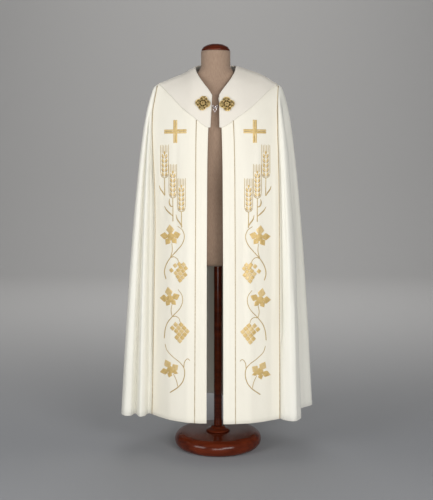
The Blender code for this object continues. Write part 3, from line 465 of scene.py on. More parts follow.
def on_front_with_normal(side, distance, height):
    """Points on a front panel and its outward normals there."""
    reach = 0.002
    middle = on_front(side, distance, height)
    across = on_front(side, distance + reach, height) - on_front(side, distance - reach, height)
    down = on_front(side, distance, height - reach) - on_front(side, distance, height + reach)
    normal = np.cross(across, down) * -SIDE_SIGN[side]
    return middle, normal / np.linalg.norm(normal, axis=-1, keepdims=True)


def seam_line(side, drop):
    line = front_point(side, 1.0, drop)
    return line + np.array([SIDE_SIGN[side] * SEAM_BEHIND[0], SEAM_BEHIND[1], 0.0])


def top_edge(top):
    """The top edge: round the neck, along the shoulder line and down the front seam."""
    top = np.asarray(top, float)
    sign = np.where(top < 0, -1.0, 1.0)
    along = np.abs(top)
    swing = np.clip(along / NECK_BACK_SHARE, 0, 1) * math.pi / 2
    ridge = np.clip((along - NECK_BACK_SHARE) / (TIP_SHARE - NECK_BACK_SHARE), 0, 1)
    down = np.clip((along - TIP_SHARE) / (1 - TIP_SHARE), 0, 1) * SEAM_OPENS
    seam = np.where((sign < 0)[..., None], seam_line("right", down), seam_line("left", down))
    tip_x = np.where(sign < 0, seam_line("right", 0.0)[0], seam_line("left", 0.0)[0])
    away = NECK_SIDE * np.sin(swing) + (np.abs(tip_x - NECK_X) - NECK_SIDE) * ridge
    x = NECK_X + sign * away
    y = RIDGE_PART + NECK_BACK * np.cos(swing)
    z = shoulder_height(x) + NECK_BACK_RISE * np.cos(swing)
    over = np.stack([x, y, z], axis=-1)
    return np.where((along > TIP_SHARE)[..., None], seam, over)


def hem_curve(places):
    """The hem at places counted in rows of FOLDS."""
    points = np.array([(row[1], row[2]) for row in FOLDS])
    knots = np.concatenate([[0.0], np.cumsum(np.linalg.norm(np.diff(points, axis=0), axis=1) ** 0.5)])
    steps = np.diff(knots)[:, None]
    slopes = np.diff(points, axis=0) / steps
    tangents = np.empty_like(points)
    tangents[1:-1] = (slopes[:-1] * steps[1:] + slopes[1:] * steps[:-1]) / (steps[:-1] + steps[1:])
    tangents[0] = slopes[0]
    tangents[-1] = slopes[-1]
    start = np.clip(np.floor(places).astype(int), 0, len(points) - 2)
    s = (places - start)[..., None]
    step = steps[start]
    return ((1 + 2 * s) * (1 - s) ** 2 * points[start] + s * (1 - s) ** 2 * step * tangents[start]
            + s * s * (3 - 2 * s) * points[start + 1] + s * s * (s - 1) * step * tangents[start + 1])


def fold_table(column, places):
    at = FOLD_NAMES.index(column)
    return np.interp(places, np.arange(len(FOLDS)), [row[at] for row in FOLDS])


def body_point(place, share):
    """The side and back cloth: place counts rows of FOLDS, share runs down."""
    place, share = np.broadcast_arrays(np.asarray(place, float), np.asarray(share, float))
    top = fold_table("top", place)
    start = fold_table("start", place)
    begin = top_edge(top)
    hem = hem_curve(place)
    last = len(FOLDS) - 1
    plain = sum(weight * hem_curve(np.clip(place + step, 0, last)) for step, weight in PLAIN_WEIGHTS.items())
    back = ease((TIP_SHARE - np.abs(top)) / BACK_BLEND)
    out = level("side", share) * (1 - back) + level("back", share) * back
    gathered = out * ease(share / GATHER_OPENS)
    hanging = np.clip((share - start) / (1 - start), 0, 1) ** FOLD_GROWTH
    fold = gathered + (hanging - gathered) * ease(start / START_BLEND)
    xy = begin[..., :2] + (plain - begin[..., :2]) * out[..., None] + (hem - plain) * fold[..., None]
    z = begin[..., 2] + (HEM_Z - begin[..., 2]) * share
    points = np.concatenate([xy, z[..., None]], axis=-1)
    for end, side in ((0.0, "right"), (float(last), "left")):
        near_seam = ease(1 - np.abs(place - end))[..., None]
        if np.any(near_seam > 0):
            drop = SEAM_OPENS + (1 - SEAM_OPENS) * share
            points = points + (seam_line(side, drop) - points) * near_seam
    return points


# ---- Making meshes -------------------------------------------------------------------

def grid_normals(grid, passes=0):
    """Outward unit normals of a grid whose columns run clockwise seen from above."""
    across = np.gradient(grid, axis=1)
    down = np.gradient(grid, axis=0)
    normals = np.cross(across, down)
    normals /= np.maximum(np.linalg.norm(normals, axis=-1, keepdims=True), 1e-12)
    for _ in range(passes):
        eased = 2 * normals
        eased[1:] += normals[:-1]
        eased[:-1] += normals[1:]
        eased[:, 1:] += normals[:, :-1]
        eased[:, :-1] += normals[:, 1:]
        normals = eased / np.linalg.norm(eased, axis=-1, keepdims=True)
    return normals


def add_mesh(name, points, faces, finishes, uv=None, tones=None, smooth=True):
    """An object at the origin from points and faces; tones gives each face's material."""
    mesh = bpy.data.meshes.new(name)
    mesh.from_pydata(np.asarray(points, float).tolist(), [], [list(map(int, face)) for face in faces])
    for finish in finishes:
        mesh.materials.append(finish)
    if tones is not None:
        mesh.polygons.foreach_set("material_index", np.asarray(tones, np.int32))
    if uv is not None:
        corner = np.empty(len(mesh.loops), np.int32)
        mesh.loops.foreach_get("vertex_index", corner)
        layer = mesh.uv_layers.new(name="cloth")
        layer.data.foreach_set("uv", np.asarray(uv, np.float32)[corner].ravel())
    if smooth:
        mesh.shade_smooth()
    made = bpy.data.objects.new(name, mesh)
    bpy.context.scene.collection.objects.link(made)
    return made


def finish_piece(piece, slot, *nodes):
    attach(piece, "root")
    if nodes:
        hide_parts(*nodes)
    return piece


def grid_faces(rows, columns, first=0, flip=False):
    """Quads of a grid of points, row by row."""
    row, column = np.meshgrid(np.arange(rows - 1), np.arange(columns - 1), indexing="ij")
    corner = first + (row * columns + column).ravel()
    quads = np.stack([corner, corner + 1, corner + 1 + columns, corner + columns], axis=1)
    return quads[:, ::-1] if flip else quads


def rim_of(rows, columns):
    """A grid's boundary, once round, as row-major numbers."""
    loop = [(0, column) for column in range(columns)]
    loop += [(row, columns - 1) for row in range(1, rows)]
    loop += [(rows - 1, column) for column in range(columns - 2, -1, -1)]
    loop += [(row, 0) for row in range(rows - 2, 0, -1)]
    return np.array([row * columns + column for row, column in loop])


def shell(name, middle, normals, thickness, finish, uv):
    """A closed cloth wall with a rounded edge on a grid of points."""
    rows, columns = middle.shape[:2]
    count = rows * columns
    outer = (middle + normals * thickness / 2).reshape(-1, 3)
    inner = (middle - normals * thickness / 2).reshape(-1, 3)
    flat = middle.reshape(-1, 3)
    rim = rim_of(rows, columns)
    along = flat[np.roll(rim, -1)] - flat[np.roll(rim, 1)]
    away = np.cross(along, normals.reshape(-1, 3)[rim])
    away /= np.maximum(np.linalg.norm(away, axis=-1, keepdims=True), 1e-12)
    inside = flat.mean(axis=0)
    if np.sum((flat[rim] - inside) * away) < 0:
        away = -away
    edge = flat[rim] + away * thickness * EDGE_ROUND
    faces = [grid_faces(rows, columns), grid_faces(rows, columns, count, flip=True)]
    here = np.arange(len(rim))
    there = np.roll(here, -1)
    first = 2 * count
    faces.append(np.stack([rim[there], rim[here], first + here, first + there], axis=1))
    faces.append(np.stack([first + there, first + here, count + rim[here], count + rim[there]], axis=1))
    points = np.concatenate([outer, inner, edge])
    flat_uv = uv.reshape(-1, 2)
    uvs = np.concatenate([flat_uv, flat_uv, flat_uv[rim]])
    return add_mesh(name, points, np.concatenate(faces), [finish], uvs)


def cloth_uv(grid):
    """Metres across and down a cloth, measured along its own surface."""
    across = np.zeros(grid.shape[:2])
    across[:, 1:] = np.cumsum(np.linalg.norm(np.diff(grid, axis=1), axis=-1), axis=1)
    across -= across[:, across.shape[1] // 2][:, None]
    down = np.zeros(grid.shape[:2])
    down[1:] = np.cumsum(np.linalg.norm(np.diff(grid, axis=0), axis=-1), axis=0)
    return np.stack([across, down], axis=-1)


def tube(points, radius, sides=8, closed=False, up=Vector((0, -1, 0))):
    """Points and faces of a round tube along a path, closed at its ends or on itself."""
    path = np.asarray(points, float)
    count = len(path)
    radii = np.broadcast_to(np.asarray(radius, float), (count,))
    if closed:
        along = np.roll(path, -1, axis=0) - np.roll(path, 1, axis=0)
    else:
        along = np.gradient(path, axis=0)
    along /= np.maximum(np.linalg.norm(along, axis=1, keepdims=True), 1e-12)
    out = np.asarray(up, float) - along * (along @ np.asarray(up, float))[:, None]
    out /= np.maximum(np.linalg.norm(out, axis=1, keepdims=True), 1e-12)
    side = np.cross(along, out)
    angle = np.arange(sides) * 2 * math.pi / sides
    ring = (out[:, None] * np.cos(angle)[None, :, None] + side[:, None] * np.sin(angle)[None, :, None])
    verts = path[:, None] + ring * radii[:, None, None]
    faces = []
    for here in range(count if closed else count - 1):
        low = here * sides
        high = (here + 1) % count * sides
        for this in range(sides):
            after = (this + 1) % sides
            faces.append((low + this, low + after, high + after, high + this))
    if not closed:
        faces.append(tuple(range(sides - 1, -1, -1)))
        faces.append(tuple((count - 1) * sides + this for this in range(sides)))
    return verts.reshape(-1, 3), faces


class Parts:
    """Points and faces of many small shapes that become one mesh."""

    def __init__(self):
        self.points = []
        self.faces = []
        self.tones = []
        self.count = 0

    def add(self, points, faces, tone=0):
        self.points.append(np.asarray(points, float))
        self.faces += [tuple(self.count + i for i in face) for face in faces]
        self.tones += [tone] * len(faces)
        self.count += len(points)

    def build(self, name, finishes):
        made = add_mesh(name, np.concatenate(self.points), self.faces, finishes, tones=self.tones)
        outward_faces(made)
        return made


def spun_faces(rings, sides):
    """Faces of a point, rings of points and a last point, outwards where the rings rise."""
    last = 1 + rings * sides
    faces = []
    for here in range(sides):
        there = (here + 1) % sides
        faces.append((0, 1 + there, 1 + here))
        for ring in range(rings - 1):
            low = 1 + ring * sides
            faces.append((low + here, low + there, low + sides + there, low + sides + here))
        faces.append((last - sides + here, last - sides + there, last))
    return faces


def outward_faces(piece):
    mesh = bmesh.new()
    mesh.from_mesh(piece.data)
    bmesh.ops.recalc_face_normals(mesh, faces=mesh.faces)
    mesh.to_mesh(piece.data)
    mesh.free()


def turned(profile, sides, centre):
    """A turned shape's points and faces: radius and height, from the axis below to the axis above."""
    x, y, z = centre
    points = [(x, y, z + profile[0][1])]
    for radius, height in profile[1:-1]:
        for step in range(sides):
            angle = 2 * math.pi * step / sides
            points.append((x + radius * math.cos(angle), y + radius * math.sin(angle), z + height))
    points.append((x, y, z + profile[-1][1]))
    return points, spun_faces(len(profile) - 2, sides)


def lathe(name, profile, sides, x, finish):
    return add_mesh(name, *turned(profile, sides, (x, 0.0, 0.0)), [finish])


def rounded_profile(corners, bend, steps=5, most=0.45):
    """Rounds a profile's corners, from bend before each to bend after, or most of a short side."""
    corners = [np.array(corner, float) for corner in corners]
    made = [tuple(corners[0])]
    for before, corner, after in zip(corners, corners[1:], corners[2:]):
        near = min(bend, np.linalg.norm(corner - before) * most, np.linalg.norm(after - corner) * most)
        start = corner + (before - corner) / np.linalg.norm(before - corner) * near
        end = corner + (after - corner) / np.linalg.norm(after - corner) * near
        for step in np.linspace(0, 1, steps + 1):
            made.append(tuple((1 - step) ** 2 * start + 2 * step * (1 - step) * corner + step ** 2 * end))
    made.append(tuple(corners[-1]))
    return made


# ---- Finishes ------------------------------------------------------------------------

class Finish:
    """A procedural material with its nodes added in a chain of short calls."""

    def __init__(self, name, colour, roughness, **constants):
        self.made = bpy.data.materials.new(name)
        self.made.use_nodes = True
        self.tree = self.made.node_tree
        self.shader = self.tree.nodes["Principled BSDF"]
        self.shader.inputs["Base Color"].default_value = (*colour, 1.0)
        self.shader.inputs["Roughness"].default_value = roughness
        for socket, value in constants.items():
            self.shader.inputs[socket.replace("_", " ")].default_value = value
        self.spot = self.tree.nodes.new("ShaderNodeTexCoord")
        self.height = None

    def node(self, kind, **settings):
        made = self.tree.nodes.new(kind)
        for name, value in settings.items():
            setattr(made, name, value)
        return made

    def place(self, source, scale):
        """Object or UV coordinates times a scale on each axis."""
        mapping = self.node("ShaderNodeMapping")
        mapping.inputs["Scale"].default_value = scale
        self.tree.links.new(self.spot.outputs[source], mapping.inputs["Vector"])
        return mapping.outputs["Vector"]

    def noise(self, source, scale, detail=3.0):
        made = self.node("ShaderNodeTexNoise")
        made.inputs["Scale"].default_value = 1.0
        made.inputs["Detail"].default_value = detail
        self.tree.links.new(self.place(source, scale), made.inputs["Vector"])
        return made.outputs["Fac"]

    def wave(self, source, scale, wobble, direction="X"):
        made = self.node("ShaderNodeTexWave", bands_direction=direction)
        made.inputs["Scale"].default_value = 1.0
        made.inputs["Distortion"].default_value = wobble
        self.tree.links.new(self.place(source, scale), made.inputs["Vector"])
        return made.outputs["Fac"]

    def ramp(self, factor, *stops):
        made = self.node("ShaderNodeValToRGB")
        while len(made.color_ramp.elements) < len(stops):
            made.color_ramp.elements.new(0.5)
        for element, (place, colour) in zip(made.color_ramp.elements, stops):
            element.position = place
            element.color = (*colour, 1.0)
        self.tree.links.new(factor, made.inputs["Fac"])
        return made.outputs["Color"]

    def colour(self, factor, *stops):
        self.tree.links.new(self.ramp(factor, *stops), self.shader.inputs["Base Color"])
        return self

    def bump(self, height, distance, strength=1.0):
        """Each call's relief is added to what came before."""
        made = self.node("ShaderNodeBump")
        made.inputs["Distance"].default_value = distance
        made.inputs["Strength"].default_value = strength
        self.tree.links.new(height, made.inputs["Height"])
        if self.height is not None:
            self.tree.links.new(self.height, made.inputs["Normal"])
        self.height = made.outputs["Normal"]
        self.tree.links.new(self.height, self.shader.inputs["Normal"])
        return self


def cloth_finish(name, light, dark, roughness, sheen, thread):
    """Close-woven cloth: a fine thread in both directions and a faint cloudy tone."""
    made = Finish(name, light, roughness, Sheen_Weight=sheen, Sheen_Roughness=0.45,
                  Specular_IOR_Level=0.35)
    made.colour(made.noise("Object", (5.0, 5.0, 2.2)), (0.35, dark), (0.65, light))
    per_metre = math.pi / (10 * thread)
    made.bump(made.wave("UV", (per_metre, per_metre, 1.0), 0.4), thread * 0.16, 0.6)
    made.bump(made.wave("UV", (per_metre, per_metre, 1.0), 0.4, "Y"), thread * 0.16, 0.6)
    made.bump(made.noise("UV", (34.0, 9.0, 1.0), 2.0), 0.0008, 0.5)


def thread_finish(name, light, dark, metallic, roughness):
    """Metallic embroidery thread laid side by side."""
    made = Finish(name, light, roughness, Metallic=metallic, Specular_IOR_Level=0.6,
                  Anisotropic=0.3)
    made.colour(made.noise("Object", (90.0, 90.0, 90.0)), (0.30, dark), (0.62, light))
    made.bump(made.wave("UV", (110.0, 60.0, 1.0), 0.6), 0.00020, 0.8)


def metal_finish(name, light, dark, roughness):
    """Cast metal with a cloudy tone; its darker, duller copy in the recesses is painted shade."""
    made = Finish(name, light, roughness, Metallic=1.0)
    made.colour(made.noise("Object", (260.0, 260.0, 260.0), 4.0), (0.30, dark), (0.58, light))
    made.bump(made.noise("Object", (900.0, 900.0, 900.0)), 0.00012, 0.5)


def wood_finish(name, light, dark, roughness):
    """Polished wood with long streaks of grain."""
    made = Finish(name, light, roughness, IOR=1.31)
    made.colour(made.noise("Object", (4.0, 40.0, 60.0), 4.0), (0.30, dark), (0.66, light))


def linen_finish(name, light, dark, roughness):
    """The dress form's plain-woven linen cover."""
    made = Finish(name, light, roughness, Sheen_Weight=0.12)
    made.colour(made.noise("Object", (420.0, 420.0, 60.0)), (0.35, dark), (0.65, light))
    made.bump(made.noise("Object", (60.0, 60.0, 700.0)), 0.0002, 0.6)
    made.bump(made.noise("Object", (700.0, 700.0, 60.0)), 0.0002, 0.6)


# Cloths: light and dark colour, roughness, sheen and a thread's width.
CLOTHS = {
    "side cloth": ((0.84, 0.820, 0.735), (0.810, 0.790, 0.695), 0.72, 0.25, 0.0009),
    "panel cloth": ((0.870, 0.830, 0.715), (0.845, 0.800, 0.680), 0.58, 0.20, 0.0008),
    "collar cloth": ((0.800, 0.750, 0.660), (0.775, 0.722, 0.630), 0.70, 0.20, 0.0009),
}

# Threads: light and dark colour, how metallic and how rough.
THREADS = {
    "edge thread": ((0.78, 0.73, 0.62), (0.70, 0.65, 0.54), 0.0, 0.6),
    "gold thread": ((0.69, 0.49, 0.19), (0.56, 0.38, 0.125), 0.20, 0.42),
    "pale gold thread": ((0.73, 0.55, 0.26), (0.62, 0.44, 0.18), 0.20, 0.42),
    "deep gold thread": ((0.52, 0.38, 0.16), (0.42, 0.29, 0.11), 0.20, 0.45),
    "brown thread": ((0.30, 0.19, 0.08), (0.22, 0.13, 0.05), 0.1, 0.6),
    "cord gold": ((0.50, 0.38, 0.20), (0.40, 0.29, 0.14), 0.3, 0.5),
}

# Metals: light and dark colour and roughness.
METALS = {
    "antique gold": ((1.0, 0.80, 0.40), (0.76, 0.55, 0.22), 0.31),
    # The second gold is painted shade: a dark, dull copy of the gold for the rosettes' plate and hollow.
    "gold recess": ((0.17, 0.10, 0.03), (0.07, 0.04, 0.012), 0.40),
    "pewter": ((0.86, 0.80, 0.80), (0.60, 0.55, 0.56), 0.24),
}

# The wood and the linen: light and dark colour and roughness.
WOODS = {"polished mahogany": ((0.125, 0.0200, 0.0060), (0.060, 0.0090, 0.0030), 0.17)}
LINENS = {"linen": ((0.36, 0.25, 0.175), (0.30, 0.20, 0.138), 0.88)}


def finish_named(name):
    """Each finish is made once and shared."""
    if name not in bpy.data.materials:
        for table, maker in ((CLOTHS, cloth_finish), (THREADS, thread_finish), (METALS, metal_finish),
                             (WOODS, wood_finish), (LINENS, linen_finish)):
            if name in table:
                maker(name, *table[name])
    return bpy.data.materials[name]


# ---- Repeats placed by geometry nodes ------------------------------------------------

def repeat_tree(finish):
    """A node tree that sets a small rounded bead or stitch on every point of a mesh."""
    tree = bpy.data.node_groups.new("Set small shapes on points", "GeometryNodeTree")
    sockets = {}
    for label, kind in (("Places", "NodeSocketGeometry"), ("Segments", "NodeSocketInt"),
                        ("Rings", "NodeSocketInt"), ("Size", "NodeSocketVector")):
        sockets[label] = tree.interface.new_socket(label, in_out="INPUT", socket_type=kind).identifier
    tree.interface.new_socket("Shapes", in_out="OUTPUT", socket_type="NodeSocketGeometry")
    given = tree.nodes.new("NodeGroupInput")
    result = tree.nodes.new("NodeGroupOutput")
    shape = tree.nodes.new("GeometryNodeMeshUVSphere")
    tree.links.new(given.outputs["Segments"], shape.inputs["Segments"])
    tree.links.new(given.outputs["Rings"], shape.inputs["Rings"])
    shape.inputs["Radius"].default_value = 0.5
    turn = tree.nodes.new("FunctionNodeAxesToRotation")
    turn.primary_axis = "Z"
    turn.secondary_axis = "X"
    for label, socket in (("out", "Primary Axis"), ("along", "Secondary Axis")):
        named = tree.nodes.new("GeometryNodeInputNamedAttribute")
        named.data_type = "FLOAT_VECTOR"
        named.inputs["Name"].default_value = label
        tree.links.new(named.outputs["Attribute"], turn.inputs[socket])
    put = tree.nodes.new("GeometryNodeInstanceOnPoints")
    tree.links.new(given.outputs["Places"], put.inputs["Points"])
    tree.links.new(shape.outputs["Mesh"], put.inputs["Instance"])
    tree.links.new(turn.outputs["Rotation"], put.inputs["Rotation"])
    tree.links.new(given.outputs["Size"], put.inputs["Scale"])
    real = tree.nodes.new("GeometryNodeRealizeInstances")
    smooth = tree.nodes.new("GeometryNodeSetShadeSmooth")
    dye = tree.nodes.new("GeometryNodeSetMaterial")
    dye.inputs["Material"].default_value = finish
    tree.links.new(put.outputs["Instances"], real.inputs["Geometry"])
    tree.links.new(real.outputs["Geometry"], smooth.inputs["Geometry"])
    tree.links.new(smooth.outputs["Geometry"], dye.inputs["Geometry"])
    tree.links.new(dye.outputs["Geometry"], result.inputs["Shapes"])
    return tree, sockets


def set_repeats(name, points, along, out, size, finish, segments=8, rings=5):
    """A plain mesh of small rounded shapes, one on each point; size is long, wide and high."""
    places = bpy.data.meshes.new(name + " places")
    places.from_pydata(np.asarray(points, float).tolist(), [], [])
    for label, values in (("along", along), ("out", out)):
        layer = places.attributes.new(label, "FLOAT_VECTOR", "POINT")
        layer.data.foreach_set("vector", np.asarray(values, np.float32).ravel())
    holder = bpy.data.objects.new(name + " places", places)
    bpy.context.scene.collection.objects.link(holder)
    tree, sockets = repeat_tree(finish)
    nodes = holder.modifiers.new("repeats", "NODES")
    nodes.node_group = tree
    nodes[sockets["Segments"]] = segments
    nodes[sockets["Rings"]] = rings
    nodes[sockets["Size"]] = size
    bpy.context.view_layer.update()
    worked = holder.evaluated_get(bpy.context.evaluated_depsgraph_get())
    mesh = bpy.data.meshes.new_from_object(worked)
    mesh.name = name
    bpy.data.objects.remove(holder, do_unlink=True)
    if not mesh.materials:
        mesh.materials.append(finish)
    made = bpy.data.objects.new(name, mesh)
    bpy.context.scene.collection.objects.link(made)
    return made


# ---- Side and back cloth -------------------------------------------------------------

def dense_top(count, crowd=2.6, even=0.15):
    """Shares from 0 to 1 that crowd towards the top edge."""
    step = np.linspace(0, 1, count)
    return even * step + (1 - even) * step ** crowd


def body_grid(low, high, per_fold, rows):
    """Points of the side and back cloth between two rows of FOLDS, with its creases."""
    places = np.linspace(low, high, per_fold * (high - low) + 1)
    place, share = np.meshgrid(places, dense_top(rows))
    grid = body_point(place, share)
    normals = grid_normals(grid, 4)
    last = len(FOLDS) - 1
    tame = ease(place / SEAM_TAME) * ease((last - place) / SEAM_TAME)
    relief = crease_field(BODY_CREASES, place, share) * tame
    return grid + normals * relief[..., None]


def open_seam(grid, edge):
    """Moves a grid's first or last column, 0 or -1, inwards by half the seam's gap."""
    inward = 1 if edge == 0 else -2
    step = grid[:, inward] - grid[:, edge]
    grid[:, edge] += step / np.linalg.norm(step, axis=-1, keepdims=True) * SEAM_GAP / 2


def state_sheet(grid):
    """Measures a piece of cloth along its own surface; nothing is kept or shown."""
    uv = cloth_uv(grid)


def build_side_cloth(settings):
    middle = [row[0] for row in FOLDS].index("centre back")
    last = len(FOLDS) - 1
    grid = body_grid(0, last, settings.columns_per_fold, settings.cloth_rows)
    normals = grid_normals(grid, 3)
    cut = middle * settings.columns_per_fold
    for side, chosen in (("right", slice(0, cut + 1)), ("left", slice(cut, None))):
        half = grid[:, chosen].copy()
        open_seam(half, -1 if side == "right" else 0)
        piece = shell("side_cloth_" + side, half, normals[:, chosen], CLOTH,
                      finish_named("side cloth"), cloth_uv(half))
        finish_piece(piece, "ivory_cloth", "body_" + side)
        state_sheet(half)


# ---- Front panels --------------------------------------------------------------------

def seam_share():
    return BAND_WIDTH / (float(level("seam_right", 0.5)) - float(level("half_gap", 0.5)))


# What each front piece is called, the node it stands for, its columns and its edge at the band's seam.
FRONT_NAMES = ("piece", "node", "columns", "seam_edge")
FRONT_PIECES = (
    ("front_edge_", "front_band_", 28, -1),
    ("panel_", "orphrey_", 92, 0),
)


def front_grid(side, low, high, columns, rows):
    """Points of one front piece, from its inner edge to its outer one."""
    shares = np.linspace(low, high, columns)
    # Each column starts at the neckline or, past the neck's side, at the shoulder line.
    start = np.array([float(front_start(side, share)) for share in shares])
    drop = start[None, :] + (1 - start[None, :]) * dense_top(rows)[:, None]
    return front_point(side, np.broadcast_to(shares, drop.shape), drop)


def build_front_panels(settings):
    shares = (0.0, seam_share(), 1.0)
    for side in SIDE_SIGN:
        for row, low, high in zip(FRONT_PIECES, shares, shares[1:]):
            front = dict(zip(FRONT_NAMES, row))
            grid = front_grid(side, low, high, front["columns"], settings.cloth_rows + PANEL_EXTRA_ROWS)
            open_seam(grid, front["seam_edge"])
            # Columns run clockwise seen from above, so that the normals point out.
            if side == "left":
                grid = grid[:, ::-1]
            piece = shell(front["piece"] + side, grid, grid_normals(grid, 2), CLOTH,
                          finish_named("panel cloth"), cloth_uv(grid))
            finish_piece(piece, "panel_cloth", front["node"] + side)
            state_sheet(grid)


# ---- Collar --------------------------------------------------------------------------

def collar_surface(rows, front_steps, back_steps):
    """The collar's columns, from the right front edge round the neck to the left one."""
    share = np.linspace(0, 1, rows)
    tops = [row[FOLD_NAMES.index("top")] for row in FOLDS]
    halves = {}
    for side, sign in SIDE_SIGN.items():
        columns = []
        tip = COLLAR_TIP_SHARE * TIP_SHARE
        ridge = top_edge(sign * (NECK_BACK_SHARE + (tip - NECK_BACK_SHARE) * share))
        ridge[:, 1] = 0.0
        tip_distance = abs(ridge[-1, 0] - OPENING_X)
        tip_rise = ridge[-1, 2] - COLLAR_EDGE[-1][1]
        for step in 1 - (1 - np.linspace(0, 1, front_steps + 1)[:-1]) ** 2:
            away = NECKLINE[1][0] + (NECK_SIDE - NECKLINE[1][0]) * step
            top = away - sign * (OPENING_X - NECK_X)
            low = COLLAR_EDGE[0][0] + (tip_distance - COLLAR_EDGE[0][0]) * step
            edge = COLLAR_EDGE[0][0] + (COLLAR_EDGE[-1][0] - COLLAR_EDGE[0][0]) * step
            top_drop = front_drop(side, top, pairs(NECKLINE, away))
            low_drop = front_drop(side, low, pairs(COLLAR_EDGE, edge) + tip_rise * step ** 2)
            drop = top_drop + (low_drop - top_drop) * share
            columns.append(front_point(side, front_share(side, top + (low - top) * share, drop), drop))
        columns.append(ridge)
        for step in np.linspace(0, 1, back_steps + 1)[1:] ** 2:
            top = NECK_BACK_SHARE * (1 - step)
            low = tip * (1 - step)
            drop = COLLAR_BACK_DROP * math.sin(step * math.pi / 2) ** COLLAR_BACK_CURVE
            place = np.interp(sign * (top + (low - top) * share), tops, np.arange(len(FOLDS)))
            columns.append(body_point(place, drop * share))
        halves[side] = columns
    return np.stack(halves["right"] + halves["left"][-2::-1], axis=1)


def build_collar(settings):
    grid = collar_surface(COLLAR_STEPS["down"], COLLAR_STEPS["front"], COLLAR_STEPS["back"])
    lifted = grid + grid_normals(grid, 8) * COLLAR_LIFT
    piece = shell("collar_cape", lifted, grid_normals(lifted, 6), settings.collar_thickness,
                  finish_named("collar cloth"), cloth_uv(lifted))
    finish_piece(piece, "collar_cloth", "collar")
    state_sheet(lifted)
    return lifted


# ---- Cords and edge stitches ---------------------------------------------------------

def collar_edge_drop(side, share, guess=0.1, passes=12):
    """The drop at which a front column comes out from under the collar."""
    drop = guess
    for _ in range(passes):
        gap = float(level("half_gap", drop))
        distance = gap + share * (float(level("seam_" + side, drop)) - gap)
        drop = float(front_drop(side, distance, float(pairs(COLLAR_EDGE, distance))))
    return drop


def path_on_front(side, share, low, step):
    """Points down a front panel at one share, and its outward and across directions."""
    count = int((1 - low) * (SHOULDER_LINE[1][1] - HEM_Z) / step)
    drop = low + (1 - low) * dense_top(count, crowd=1.6, even=0.35)
    line = front_point(side, np.full(count, share), drop)
    beside = front_point(side, np.full(count, share - 0.01), drop)
    across = (line - beside) / np.linalg.norm(line - beside, axis=-1, keepdims=True)
    down = np.gradient(line, axis=0)
    out = np.cross(across, down)
    out /= np.linalg.norm(out, axis=-1, keepdims=True)
    out *= np.where(out[:, 1:2] > 0, -1.0, 1.0)
    return line, across, out


def run_length(line):
    """How far along a line each of its points is."""
    return np.concatenate([[0.0], np.cumsum(np.linalg.norm(np.diff(line, axis=0), axis=1))])


# A cord is two strands twisted round each other; these sizes are in strands where they are bare.
CORD_STEP = 0.0022          # between points along it
CORD_PITCH = 0.0064         # one full turn of its strands
CORD_STANDS_OFF = 1.15      # strands from the cloth's face to its middle
CORD_FLATTENED = 0.7
INNER_CORD_GAP = 0.0004     # drop below the collar's edge at which the inner ones begin
WHIPPING_LENGTH = 0.0045    # binding at the upper end
WHIPPING_RADIUS = 2.0
WHIPPING_POINTS = 3         # fewest points in it


def build_cords(settings):
    strand = settings.cord_strand
    for side in SIDE_SIGN:
        inner_top = collar_edge_drop(side, seam_share()) + INNER_CORD_GAP
        for place, share, shift, top in (("inner", seam_share(), 0.0, inner_top),
                                         ("outer", 1.0, -OUTER_CORD_INSET, OUTER_CORD_TOP)):
            line, across, out = path_on_front(side, share, top, CORD_STEP)
            middle = line + across * shift + out * (CLOTH / 2 + strand * CORD_STANDS_OFF)
            length = run_length(middle)
            made = Parts()
            for turn in (0.0, math.pi):
                angle = length / CORD_PITCH * 2 * math.pi + turn
                twist = (across * (np.cos(angle) * strand)[:, None]
                         + out * (np.sin(angle) * strand * CORD_FLATTENED)[:, None])
                made.add(*tube(middle + twist, strand, 6))
            # A short whipping binds each cord's upper end.
            bound = max(WHIPPING_POINTS, int(np.sum(length < WHIPPING_LENGTH)))
            made.add(*tube(middle[:bound], strand * WHIPPING_RADIUS, 10), 1)
            piece = made.build(f"gold_cord_{place}_{side}",
                               [finish_named("cord gold"), finish_named("brown thread")])
            finish_piece(piece, "gold_cord", f"cord_{place}_{side}")


STITCH_SIZE = (0.0032, 0.0007, 0.0005)      # long, wide and high
STITCH_PITCH = 0.0052
COLLAR_STITCH_ROW = -3                      # the row of the collar's points that its stitches follow
COLLAR_STITCH_ENDS = 0.006                  # left bare at each end of that row
COLLAR_STITCH_LIFT = 0.00105                # from the middle of its cloth
EDGE_STITCH_SHARE = 0.022                   # where they run down a front edge
EDGE_STITCH_DROP = 0.004                    # how far below the collar those begin
EDGE_STITCH_LIFT = 0.0001                   # from the face of its cloth


def build_edge_stitches(collar):
    """A line of small stitches set in from the collar's edge and each front edge."""
    normals = grid_normals(collar, 4)[COLLAR_STITCH_ROW]
    line = collar[COLLAR_STITCH_ROW] + normals * COLLAR_STITCH_LIFT
    length = run_length(line)
    at = np.arange(COLLAR_STITCH_ENDS, length[-1] - COLLAR_STITCH_ENDS, STITCH_PITCH)
    spot = np.stack([np.interp(at, length, line[:, axis]) for axis in range(3)], axis=1)
    points = [spot]
    along = [np.gradient(spot, axis=0)]
    out = [np.stack([np.interp(at, length, normals[:, axis]) for axis in range(3)], axis=1)]
    for side in SIDE_SIGN:
        top = collar_edge_drop(side, EDGE_STITCH_SHARE) + EDGE_STITCH_DROP
        line, _, normal = path_on_front(side, EDGE_STITCH_SHARE, top, STITCH_PITCH)
        points.append(line + normal * (CLOTH / 2 + EDGE_STITCH_LIFT))
        along.append(np.gradient(line, axis=0))
        out.append(normal)
    piece = set_repeats("edge_stitches", np.concatenate(points), np.concatenate(along),
                        np.concatenate(out), STITCH_SIZE, finish_named("edge thread"), 6, 4)
    finish_piece(piece, "panel_cloth")


# ---- Embroidery ----------------------------------------------------------------------

